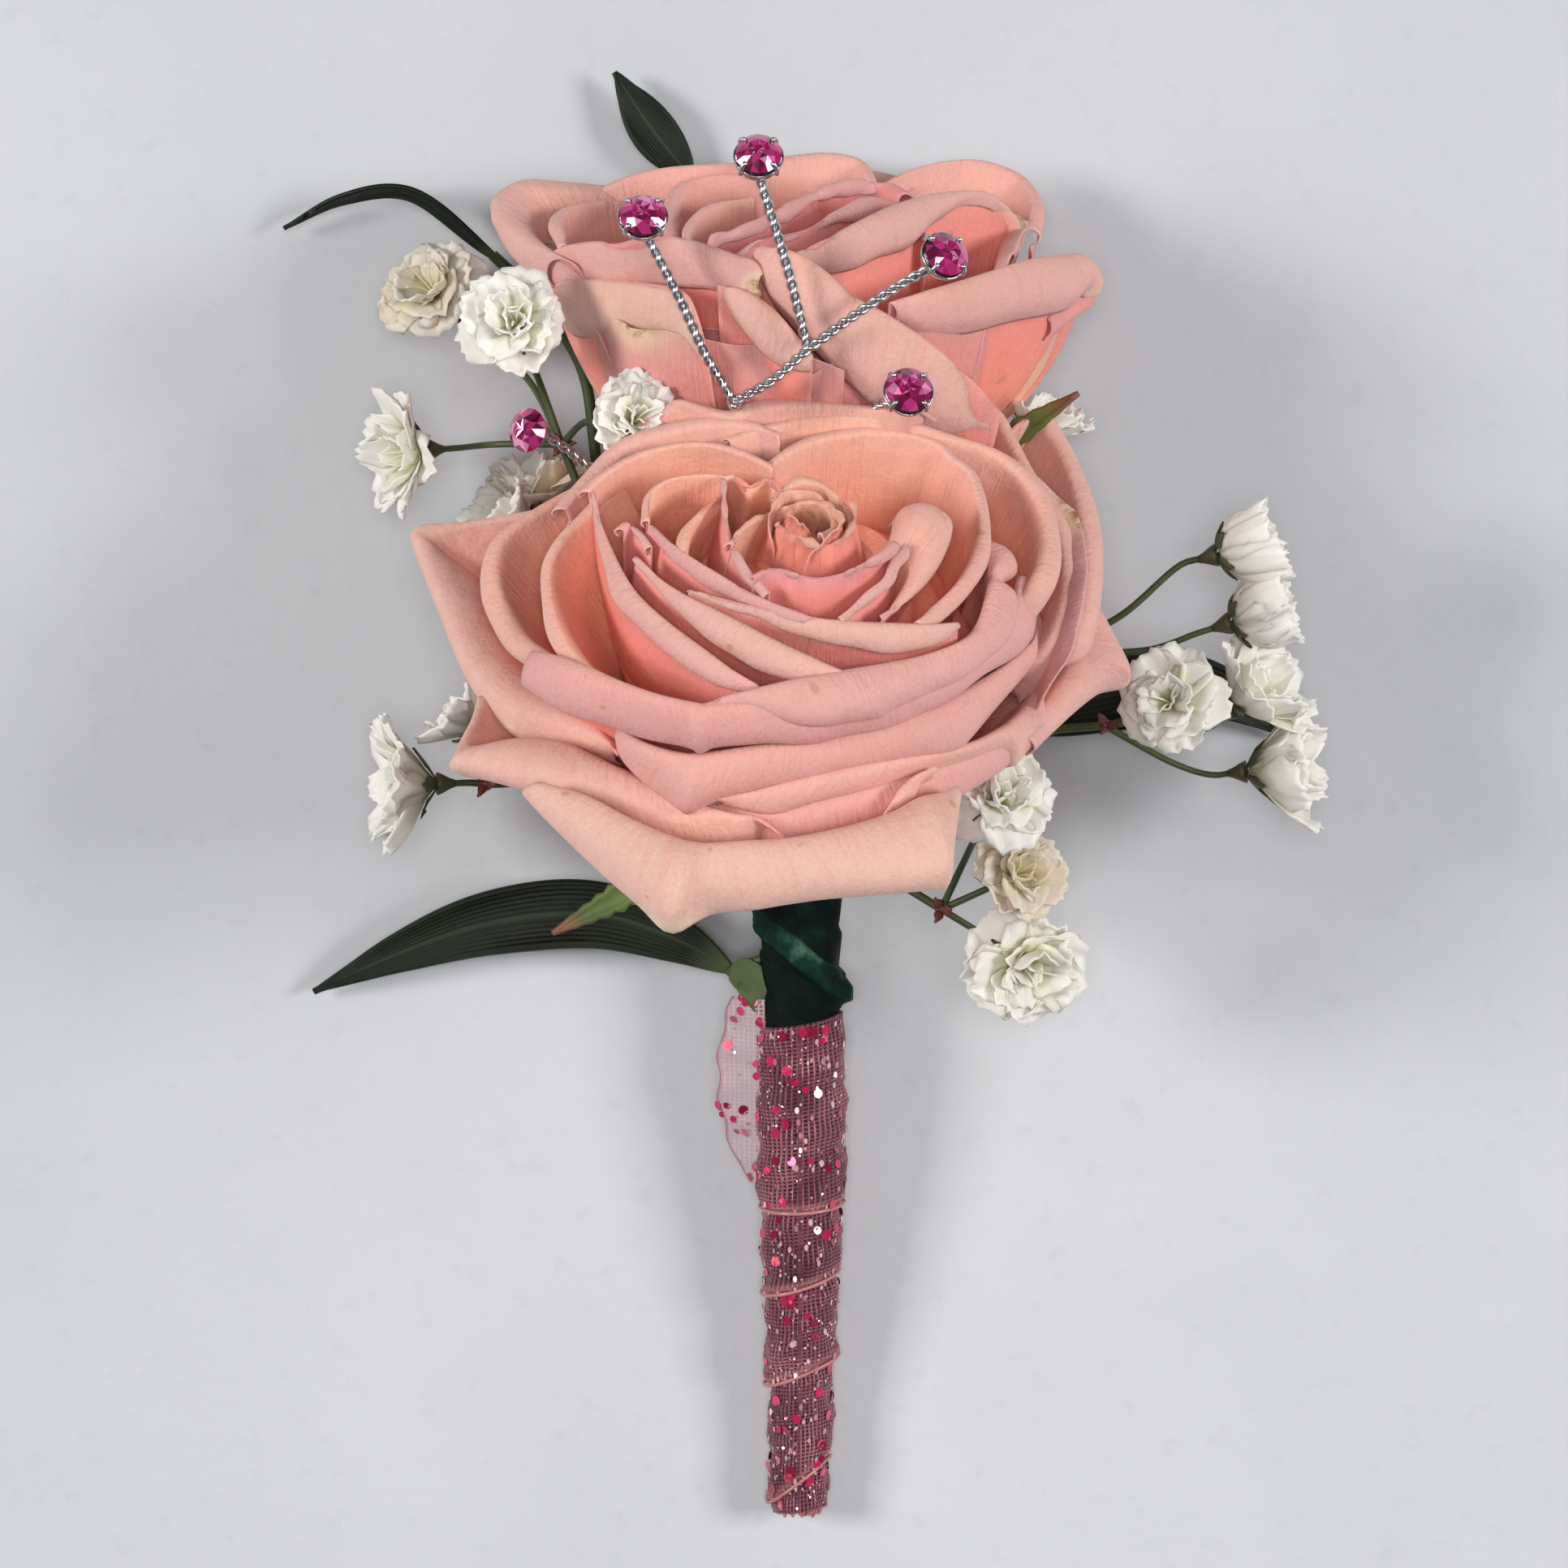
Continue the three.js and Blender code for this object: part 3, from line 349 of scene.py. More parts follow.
def floret_material():
    s = Shader("gyp_flower", Subsurface_Weight=0.5, Subsurface_Scale=0.0012, Roughness=0.6,
               Specular_IOR_Level=0.25)
    s.surface.inputs["Subsurface Radius"].default_value = (1.0, 0.97, 0.82)
    along, core, tone = s.layer("along"), s.layer("core"), s.layer("tone")
    worn = s.noise(s.here(), 330, 3)
    aged = s.mix(s.times(tone, s.between(worn, 0.2, 0.75, 0.35, 1.0)), "#FFFCF2", "#E0C6A4")
    green = s.mix(core, aged, "#C4CC5E")
    streaks = s.noise(s.place(s.times(s.layer("across"), 9), along, tone), 3, 3)
    lines = s.mix(s.between(streaks, 0.5, 0.75, 0.0, 0.14), green, "#CFCDB2")
    brown = s.times(s.between(along, 0.86, 1.0), s.between(worn, 0.62, 0.72))
    s.colour(s.mix(s.times(brown, tone), lines, "#9A6A4A"))
    s.bump(streaks, 0.5, 0.12)
    return s.material


def green_material(name, low, high, tip, roughness, scale=160):
    """Stems and sepals: mottled from one green to another, with a tip colour on the layer "tip"."""
    s = Shader(name, Roughness=roughness, Subsurface_Weight=0.05, Subsurface_Scale=0.0006)
    mottle = s.noise(s.here(), scale, 4)
    base = s.ramp(mottle, (0.3, low), (0.7, high))
    s.colour(s.mix(s.layer("tip"), base, tip))
    s.bump(s.noise(s.here(), scale * 7, 3), 0.4, 0.12)
    return s.material


def leaf_material():
    s = Shader("ruscus", Specular_IOR_Level=0.26, Coat_Weight=0.04, Coat_Roughness=0.35)
    across, along, light = s.layer("across"), s.layer("along"), s.layer("tip")
    veins = s.math("SINE", s.times(across, 42))
    mottle = s.noise(s.here(), 130, 4)
    base = s.ramp(mottle, (0.3, "#060B04"), (0.72, "#101C0C"))
    ribbed = s.mix(s.between(veins, 0.2, 1.0, 0.0, 0.4), base, "#1F2F17")
    midrib = s.mix(s.between(s.math("ABSOLUTE", across), 0.03, 0.1, 0.5, 0.0), ribbed, "#33452A")
    s.colour(s.mix(light, midrib, "#4F5F38"))
    s.roughness(s.between(mottle, 0.3, 0.7, 0.4, 0.58))
    cloudy = s.noise(s.place(across, along, 0.0), 60, 2)
    s.bump(s.plus(s.times(veins, 0.5), cloudy), 0.4, 0.1)
    return s.material


def tape_material():
    s = Shader("tape", Specular_IOR_Level=0.1, Coat_Weight=0.02, Coat_Roughness=0.4)
    across, along, raised = s.layer("across"), s.layer("along"), s.layer("tip")
    crepe = s.noise(s.place(s.times(across, 0.7), s.times(along, 5.5), 0.0), 1, 5)
    worn = s.noise(s.here(), 260, 4)
    base = s.ramp(crepe, (0.25, "#010705"), (0.6, "#03150F"), (0.85, "#08271F"))
    rubbed = s.mix(s.between(worn, 0.54, 0.72, 0.0, 0.6), base, "#12392F")
    # Painted highlight: the raised strip and bulge (layer "tip") are coloured lighter green, and pale
    # grey-green in patches, standing in for light on the ridge and the tape's waxy sheen.
    strip = s.mix(s.times(raised, s.between(worn, 0.3, 0.62, 0.2, 0.9)), rubbed, "#0F3A2D")
    painted_sheen = s.times(raised, s.between(worn, 0.52, 0.66))
    s.colour(s.mix(s.times(painted_sheen, 0.55), strip, "#5E8475"))
    s.roughness(s.between(worn, 0.3, 0.7, 0.5, 0.75))
    s.bump(s.plus(crepe, s.times(worn, 0.6)), 0.7, 0.3)
    return s.material


# The ribbon's net: spacing of its ribs and of the threads across them
RIB_SPACING = 0.42
THREAD_SPACING = 0.34


def mesh_weave(s):
    """Height of a ribbed net: fine ribs along the ribbon and finer threads across it."""
    ribs = s.math("SINE", s.times(s.layer("across"), 2 * math.pi / RIB_SPACING))
    threads = s.math("SINE", s.times(s.layer("along"), 2 * math.pi / THREAD_SPACING))
    return s.math("MAXIMUM", ribs, threads), ribs


def ribbon_material():
    s = Shader("ribbon", Metallic=0.2, Specular_IOR_Level=0.6, Sheen_Weight=0.45, Sheen_Roughness=0.35)
    s.surface.inputs["Sheen Tint"].default_value = rgb("#FFB4C0")
    net, ribs = mesh_weave(s)
    patches = s.noise(s.here(), 210, 3)
    threads = s.ramp(patches, (0.3, "#672C42"), (0.52, "#984C62"), (0.75, "#C97F8C"))
    woven = s.mix(s.between(net, 0.1, 0.8), "#2C1D24", threads)
    s.colour(s.mix(s.layer("tip"), woven, "#D68E8C"))
    s.roughness(s.between(s.noise(s.here(), 1500, 2), 0.3, 0.7, 0.28, 0.6))
    s.bump(s.plus(net, s.times(ribs, 0.4)), 0.8, 0.16)
    return s.material


def tulle_material():
    """The ribbon's loose tail, whose net lets the surface behind show."""
    s = Shader("tulle", Roughness=0.5, Sheen_Weight=0.3, Sheen_Roughness=0.4)
    net, _ = mesh_weave(s)
    s.colour(s.ramp(s.layer("tip"), (0.0, "#D2B2BC"), (0.7, "#C08FA0"), (1.0, "#A23A58")))
    holes = s.between(net, 0.35, 0.85, 0.16, 0.62)
    s.tree.links.new(s.math("MAXIMUM", holes, s.layer("tip")), s.surface.inputs["Alpha"])
    return s.material


def wire_material():
    s = Shader("wire", Metallic=1.0)
    scratches = s.noise(s.here(), 1400, 3)
    s.colour(s.mix(s.between(scratches, 0.4, 0.75, 0.0, 0.3), "#C9C9CC", "#8F8F94"))
    s.roughness(s.between(scratches, 0.3, 0.7, 0.168, 0.36))
    return s.material


def flake_material(name, deep, bright, roughness):
    """Sequins and glitter, each of its own tone."""
    s = Shader(name, Metallic=0.3, Coat_Weight=0.8, Coat_Roughness=0.08)
    s.colour(s.ramp(s.layer("tone"), (0.0, deep), (1.0, bright)))
    s.roughness(s.between(s.noise(s.here(), 2500, 1), 0.3, 0.7, roughness * 0.6, roughness * 1.4))
    return s.material


def stone_material():
    """Foil-backed glass: each facet's tone, dark magenta to pale pink, paints its reflection."""
    s = Shader("rhinestone", Metallic=0.45, Specular_IOR_Level=0.8, Coat_Weight=1.0, Coat_Roughness=0.02)
    # Painted reflections: facets get random tones from dark magenta to pale pink.
    painted_facet_glints = (0.0, "#5E0630"), (0.4, "#B41566"), (0.75, "#DB3C92"), (1.0, "#FBA9D6")
    s.colour(s.ramp(s.layer("tone"), *painted_facet_glints))
    s.roughness(s.between(s.noise(s.here(), 700, 1), 0.3, 0.7, 0.06, 0.14))
    return s.material


# Rose petals

PETAL_LAYERS = ("along", "across", "edge", "tip", "tone", "face")

# Where a petal leaves the bud's core, as (radius, height), its lean there in degrees, and the share of
# its cup that the core hides
FOOT = np.array([1.8, 0.8])
FOOT_LEAN = 70
CUP_START = 0.08

# Length of the pulls that shape the cup, over the distance from its foot to its fold line
PULL = 0.42

# Share of the cup's length over which the petal widens to its full angle
WIDENING = 0.75

# Widths along a petal's rim in which its tips are tanned and its ruffles grow
TANNED = 3.4
RUFFLED = 2.6

# Thickness of a petal at its rim and how much it gains over this many millimetres
RIM_THICKNESS = 0.16
RIM_GAIN = 0.3
RIM_WIDTH = 4

# How close to a corner of a fold line its extra knots lie, as a share of the way to the next knot
CORNER = 0.14

# The share of a drawn petal's colours, from foot to rim, at which its fold line lies
FOLD_SHARE = 0.72


def up_and_out(lean):
    """Unit steps as (radius, height) at a lean from upright, in degrees."""
    angle = np.radians(lean)
    return np.stack([np.sin(angle), np.cos(angle)], -1)


def bezier(a, b, c, d, t):
    return (1 - t) ** 3 * a + 3 * (1 - t) ** 2 * t * b + 3 * (1 - t) * t * t * c + t ** 3 * d


def cup_rows(fold, lean, rows, rise=FOOT_LEAN, belly=1):
    """Rows of (radius, height) from the foot up to a fold line, and each row's share of the way."""
    share = np.linspace(CUP_START, 1, rows + 1)[None]
    reach = PULL * np.linalg.norm(fold - FOOT, axis=-1, keepdims=True)
    rising, falling = FOOT + up_and_out(rise) * reach * belly, fold - up_and_out(lean) * reach
    return bezier(FOOT, rising, falling, fold, share[..., None]), share


def widened(share, spread):
    """How far a petal has opened from "spread" to its full angle, at shares of its cup."""
    return spread + (1 - spread) * smooth(share / WIDENING)


def up_columns(grid):
    """Length up each column of a grid to each of its points, and from there to the rim."""
    steps = np.linalg.norm(np.diff(grid, axis=1), axis=-1)
    run = np.concatenate([np.zeros((len(grid), 1)), np.cumsum(steps, 1)], 1)
    return run, run[:, -1:] - run


def across_values(values, u, power):
    """Value across a petal from one number, or from those at its left side, middle and right side."""
    left, middle, right = [values] * 3 if np.isscalar(values) else values
    return middle + (np.where(u < 0, left, right) - middle) * np.abs(u) ** power


def rose_petal(at, half, r, h, lip, bend, lean=5, roll=60, point=2, drop=3, straight=0.5, rise=FOOT_LEAN,
               belly=1, spread=0.28, tanned=1.0, fine=1.0):
    """Grid of points of one petal in its rose's frame, and its layers.

    The petal rises as a cup to a crest at radius r and height h, leans out there by "lean", and rolls
    over to the angle "roll" round the radius "bend" for the length "lip". It stands at the azimuth
    "at" and is twice "half" wide. Its r and h, and lip unless it is one number, are those at its left
    side, middle and right side.
    """
    half_cols, rows, lip_rows = (int(n * fine) for n in (24, 14, 18))
    u = np.linspace(-1, 1, 2 * half_cols + 1)[:, None]
    round_r = across_values(r, u, 2)
    wide = math.radians(half)
    away = wide * np.abs(u)
    side = np.where(u < 0, r[0], r[2])
    line_r = r[1] * side * np.sin(wide) / (side * np.sin(wide - away) + r[1] * np.sin(away))
    crest_h = across_values(h, u, 2) - drop * np.abs(u) ** 5
    crest = np.stack([round_r + (line_r - round_r) * straight, crest_h], -1)
    cup, share = cup_rows(crest, lean, rows, rise, belly)
    lip = across_values(lip, u, point) * (1 - 0.85 * u ** 8)
    lean, turn = math.radians(lean), math.radians(roll - lean)
    step = lip / lip_rows
    angle = lean + turn * np.clip((np.arange(lip_rows) + 0.5) * step / (bend * abs(turn)), 0, 1)
    radius = np.concatenate([cup[..., 0], crest[..., 0] + np.cumsum(np.sin(angle) * step, 1)], 1)
    height = np.concatenate([cup[..., 1], crest[..., 1] + np.cumsum(np.cos(angle) * step, 1)], 1)
    share = np.concatenate([share, np.ones((1, lip_rows))], 1)
    azimuth = math.radians(at) + wide * u * widened(share, spread)
    grid = np.stack([radius * np.cos(azimuth), radius * np.sin(azimuth), height], -1)
    run, left = up_columns(grid)
    nearer_side = np.where(u[..., None] < 0, grid[:1], grid[-1:])
    layers = {
        "along": run / run[:, -1:].max(),
        "across": u + 0 * run,
        "edge": np.minimum(left, np.linalg.norm(grid - nearer_side, axis=-1)),
        "tip": tanned * np.exp(-(u / 0.2) ** 2) * smooth((TANNED - left) / TANNED),
    }
    return grid, layers


def seen(x, y, z):
    """Points at heights above the surface that the camera sees at places in the picture."""
    sight = np.stack([x - PICTURE / 2, PICTURE / 2 - y], -1) / FOCAL * (CAMERA_HEIGHT - z)[:, None]
    return np.concatenate([sight, z[:, None]], -1)


def above(rose, x, y, h):
    """Heights above the surface of places in the picture, from their heights along the rose's axis."""
    turn, base = rose_matrix(**rose)
    slope = np.stack([x - PICTURE / 2, PICTURE / 2 - y], -1) / FOCAL @ turn[:2, 2]
    return (h + turn[:, 2] @ base - CAMERA_HEIGHT * slope) / (turn[2, 2] - slope)


def cornered(knots, corners):
    """Knots with a near neighbour on both sides of each corner, so that the curve turns sharply there."""
    kept = []
    for k, knot in enumerate(knots):
        near = [knot + (knots[n] - knot) * CORNER for n in (k - 1, k + 1) if 0 <= n < len(knots)]
        kept += [near[0], knot, near[-1]] if k in corners else [knot]
    return np.array(kept)


def drawn_petal(rose, marks, axial=False, lip=1.2, lean=0, curl=0.3, spread=0.28, tips=(), corners=(),
                fine=1.0):
    """Grid of one petal in its rose's frame, drawn by its fold line and rim, and its layers.

    A mark is a place on the fold line and its height, then the same of the rim. Without the rim, the
    petal turns out by "lip". Heights are above the surface, or along the rose's axis if "axial".
    Tips are marks where the petal is tanned, and corners are marks where it is pointed. Its edge curls
    under by "curl".
    """
    cols, rows, lip_rows, curl_rows = (int(n * fine) for n in (80, 20, 12, 5))
    marks = np.array(marks, float)
    turn, base = rose_matrix(**rose)
    lines = []
    for x, y, h in (marks[:, k:k + 3].T for k in range(0, marks.shape[1], 3)):
        z = above(rose, x, y, h) if axial else h
        lines.append((seen(x, y, z) - base) @ turn)
    up = np.array([0.0, 0.0, 1.0])
    if len(lines) == 1:
        lines.append(lines[0] + unit(lines[0] * [1, 1, 0]) * lip * 0.85 - up * lip * 0.5)
    knots = np.concatenate(lines, 1)
    both = spaced(cornered(knots, corners), cols)
    length = travelled(knots)
    azimuth = np.unwrap(np.arctan2(both[:, 1], both[:, 0]))
    if azimuth[-1] < azimuth[0]:
        both, azimuth, length = both[::-1], azimuth[::-1], length[-1] - length
    crest, rim, azimuth = both[:, None, :3], both[:, None, 3:], azimuth[:, None]
    fold = np.stack([np.linalg.norm(crest[..., :2], axis=-1), crest[..., 2]], -1)
    cup, share = cup_rows(fold, lean, rows)
    middle = (azimuth[0] + azimuth[-1]) / 2
    turned = middle + (azimuth - middle) * widened(share, spread)
    cup = np.stack([cup[..., 0] * np.cos(turned), cup[..., 0] * np.sin(turned), cup[..., 1]], -1)
    out = unit(crest * [1, 1, 0])
    gap = np.linalg.norm(rim - crest, axis=-1, keepdims=True)
    wall = math.sin(math.radians(lean)) * out + math.cos(math.radians(lean)) * up
    end = rim + (0.5 * up + 0.1 * out) * gap
    s = np.linspace(0, 1, lip_rows + 1)[None, 1:, None]
    roll = bezier(crest, crest + 0.35 * gap * wall, end, rim, s)
    s = np.linspace(0, 1, curl_rows + 1)[None, 1:, None]
    curl = np.minimum(curl, 0.6 * gap)
    under = rim + unit(rim - end) * curl * s - (out + 0.3 * up) * curl * 0.7 * s ** 2
    grid = np.concatenate([cup, roll, under], 1)
    run, left = up_columns(grid)
    sideways = np.minimum(*(np.linalg.norm(grid - side, axis=-1) for side in (grid[:1], grid[-1:])))
    u = np.linspace(-1, 1, cols)[:, None]
    to_fold, lip_length = run[:, rows:rows + 1], np.maximum(left[:, rows:rows + 1], 0.5)
    beyond = FOLD_SHARE + (1 - FOLD_SHARE) * (run - to_fold) / lip_length
    tip = sum((np.exp(-((u - 2 * length[k] / length.max() + 1) / 0.08) ** 2) for k in tips), 0 * u)
    layers = {
        "along": np.where(run < to_fold, FOLD_SHARE * run / to_fold, np.minimum(beyond, 1)),
        "across": u * azimuth.std() + 0 * run,
        "edge": np.minimum(left, sideways),
        "tip": tip * smooth((TANNED - left) / TANNED),
    }
    return grid, layers


def waved(grid, layers, rng, amount):
    """The petal with soft swells over its face, and ruffles that grow towards its rim."""
    u, v = layers["across"], layers["along"]
    phase = rng.uniform(0, 2 * np.pi, 6)
    swell = np.sin(3.1 * u + phase[0]) * np.sin(4.2 * v + phase[1]) + 0.6 * np.sin(6.3 * u - 3 * v + phase[2])
    near = smooth((RUFFLED - layers["edge"]) / RUFFLED)
    ruffle = (np.sin(8.5 * u + phase[3] + 2 * v) + 0.7 * np.sin(15 * u + phase[4])
              + 0.45 * np.sin(27 * u + phase[5] + 5 * v))
    return grid + grid_normals(grid) * (amount * (0.3 * swell * v + 0.22 * near * ruffle))[..., None]


def rose_matrix(base, tilt, turn):
    """Rotation and base of a rose's frame. Azimuth 0 is towards -y and up, and 90 towards +x."""
    t, y = math.radians(tilt), math.radians(turn)
    axis = np.array([math.sin(t) * math.sin(y), math.sin(t) * math.cos(y), math.cos(t)])
    right = np.array([math.cos(y), -math.sin(y), 0])
    return np.stack([np.cross(right, axis), right, axis], -1), np.array(base, float)


# The space that the rear rose fills, as [height, radius], against which the front one is pressed
REAR_ROOM = np.array([(-1, 0), (2, 9.5), (6, 14), (10, 17), (14.5, 19.2), (19, 22), (21, 25), (32, 25)])


def pressed(points):
    """Points of the front rose, moved out of the rear rose's space."""
    turn, base = rose_matrix(**REAR)
    local = (points - base) @ turn
    radius = np.linalg.norm(local[..., :2], axis=-1)
    limit = np.interp(local[..., 2], *REAR_ROOM.T, left=0, right=0)
    scale = np.maximum(radius, limit) / np.maximum(radius, 1e-6)
    local = np.concatenate([local[..., :2] * scale[..., None], local[..., 2:]], -1)
    return local @ turn.T + base


# Front rose. Drawn petals are listed from the outside in, each with the marks of its fold line and rim.
FRONT_BACK = [
    dict(at=120, half=44, r=(20, 23, 22), h=(18, 18.5, 19), lean=15, roll=95, bend=2.5, lip=(2, 3, 2)),
    dict(at=170, half=50, r=(21, 20.5, 20.5), h=(19, 20, 20), roll=80, bend=2.5, lip=2),
    dict(at=-142, half=50, r=(20.5, 21, 20), h=(20, 20, 18), roll=80, bend=2.5, lip=2),
]
FRONT_OUTER = [
    dict(lean=45, curl=1.0, tone=0.75, tips=[4, 10], corners=[4], marks=[
        (738, 600, 19.5, 734, 594, 19.5), (680, 632, 18.5, 676, 627, 18.5), (600, 646, 17.2, 597, 641, 17.2),
        (540, 662, 16, 520, 653, 16), (532, 672, 15.7, 508, 660, 15.8), (548, 688, 15, 513, 675, 15.5),
        (585, 716, 13.6, 530, 717, 14.2), (613, 757, 12.6, 547, 758, 13.2), (634, 803, 12.2, 571, 815, 12.4),
        (655, 840, 12.6, 601, 861, 12), (672, 856, 13, 634, 893, 11.6), (705, 872, 13.6, 668, 905, 11.8),
        (740, 900, 14.6, 715, 924, 12.4), (764, 928, 15, 757, 938, 13)]),
    dict(lean=40, curl=1.0, tone=0.7, tips=[3], corners=[3], marks=[
        (600, 862, 12, 592, 862, 12), (592, 888, 12.2, 584, 888, 12.2), (578, 914, 12.3, 566, 922, 12.2),
        (582, 922, 12.4, 555, 946, 12), (600, 920, 12.6, 562, 950, 12), (640, 912, 13.2, 600, 963, 12),
        (690, 915, 14, 655, 979, 12.2), (740, 938, 15, 745, 1009, 12.6), (790, 962, 15.8, 800, 1030, 13),
        (850, 990, 16.2, 862, 1042, 13.2), (905, 1005, 16.2, 922, 1038, 13.4), (930, 1008, 16, 948, 1022, 14),
        (955, 1024, 15.6, 972, 1036, 14)]),
    dict(lean=8, lip=0.5, tone=0.1, marks=[
        (860, 985, 15.6, 885, 1026, 13.2), (950, 985, 15.6, 960, 1042, 12.8),
        (1040, 965, 15.6, 1060, 1024, 12.6), (1120, 948, 15.2, 1140, 1000, 12.6),
        (1200, 925, 14.6, 1212, 962, 12.6), (1240, 905, 14, 1250, 930, 12.4)]),
    dict(lean=5, curl=0.2, tone=0.5, spread=1, marks=[
        (1090, 1004, 15.4, 1094, 1007, 15), (1102, 985, 15.9, 1126, 990, 15.2),
        (1124, 960, 16.3, 1138, 965, 15.8), (1150, 945, 16.4, 1156, 948, 16.2)]),
    dict(lean=35, curl=0.9, tone=1, tips=[4, 5, 11], corners=[5, 11], marks=[
        (668, 968, 15.5, 648, 975, 15), (720, 985, 16, 690, 1020, 14.4), (770, 1010, 16.6, 740, 1068, 14),
        (815, 1030, 17, 790, 1115, 13.8), (845, 1040, 17, 818, 1143, 13.6), (852, 1041, 17, 830, 1146, 13.6),
        (872, 1043, 17, 872, 1120, 13.8), (920, 1040, 17, 935, 1115, 14), (972, 1037, 17, 1010, 1108, 14.2),
        (1055, 1020, 16.8, 1085, 1102, 14.4), (1110, 1000, 16.5, 1150, 1096, 14.4),
        (1135, 985, 16.3, 1168, 1092, 14.4), (1160, 978, 16, 1171, 1050, 14.8),
        (1180, 972, 15.8, 1182, 975, 15.6)]),
    dict(lean=25, curl=0.8, tone=0.4, tips=[8], corners=[8], marks=[
        (880, 985, 17.5, 893, 988, 17), (930, 975, 17.6, 920, 996, 16.6), (980, 962, 17.6, 960, 1001, 16),
        (1040, 948, 17.4, 1015, 993, 15.6), (1100, 938, 17, 1080, 977, 15),
        (1150, 930, 16.4, 1140, 958, 14.4), (1195, 920, 15.8, 1190, 943, 13.8),
        (1225, 905, 15.2, 1235, 930, 13), (1240, 895, 14.8, 1252, 937, 12.6),
        (1255, 880, 14.4, 1262, 925, 12.8), (1275, 850, 13.8, 1282, 910, 13)]),
    dict(lean=40, curl=0.8, tone=0.35, tips=[4], corners=[4], marks=[
        (1318, 690, 16.5, 1328, 690, 16.3), (1325, 730, 16, 1346, 735, 15.4),
        (1325, 775, 15.4, 1370, 785, 14.2), (1318, 805, 15, 1390, 828, 13),
        (1312, 820, 14.8, 1393, 842, 12.6), (1305, 835, 14.6, 1365, 850, 12.8),
        (1290, 860, 14.3, 1330, 874, 13), (1270, 885, 14.2, 1295, 905, 13),
        (1250, 905, 14, 1275, 925, 12.8)]),
    dict(lean=25, lip=2, tone=0.6, tips=[2], corners=[2], marks=[
        (1225, 560, 20), (1250, 530, 19.6), (1275, 517, 19.2), (1300, 553, 18.6), (1322, 610, 18),
        (1333, 680, 17.6), (1330, 740, 17.2), (1318, 790, 16.6), (1300, 830, 14), (1275, 860, 11)]),
]
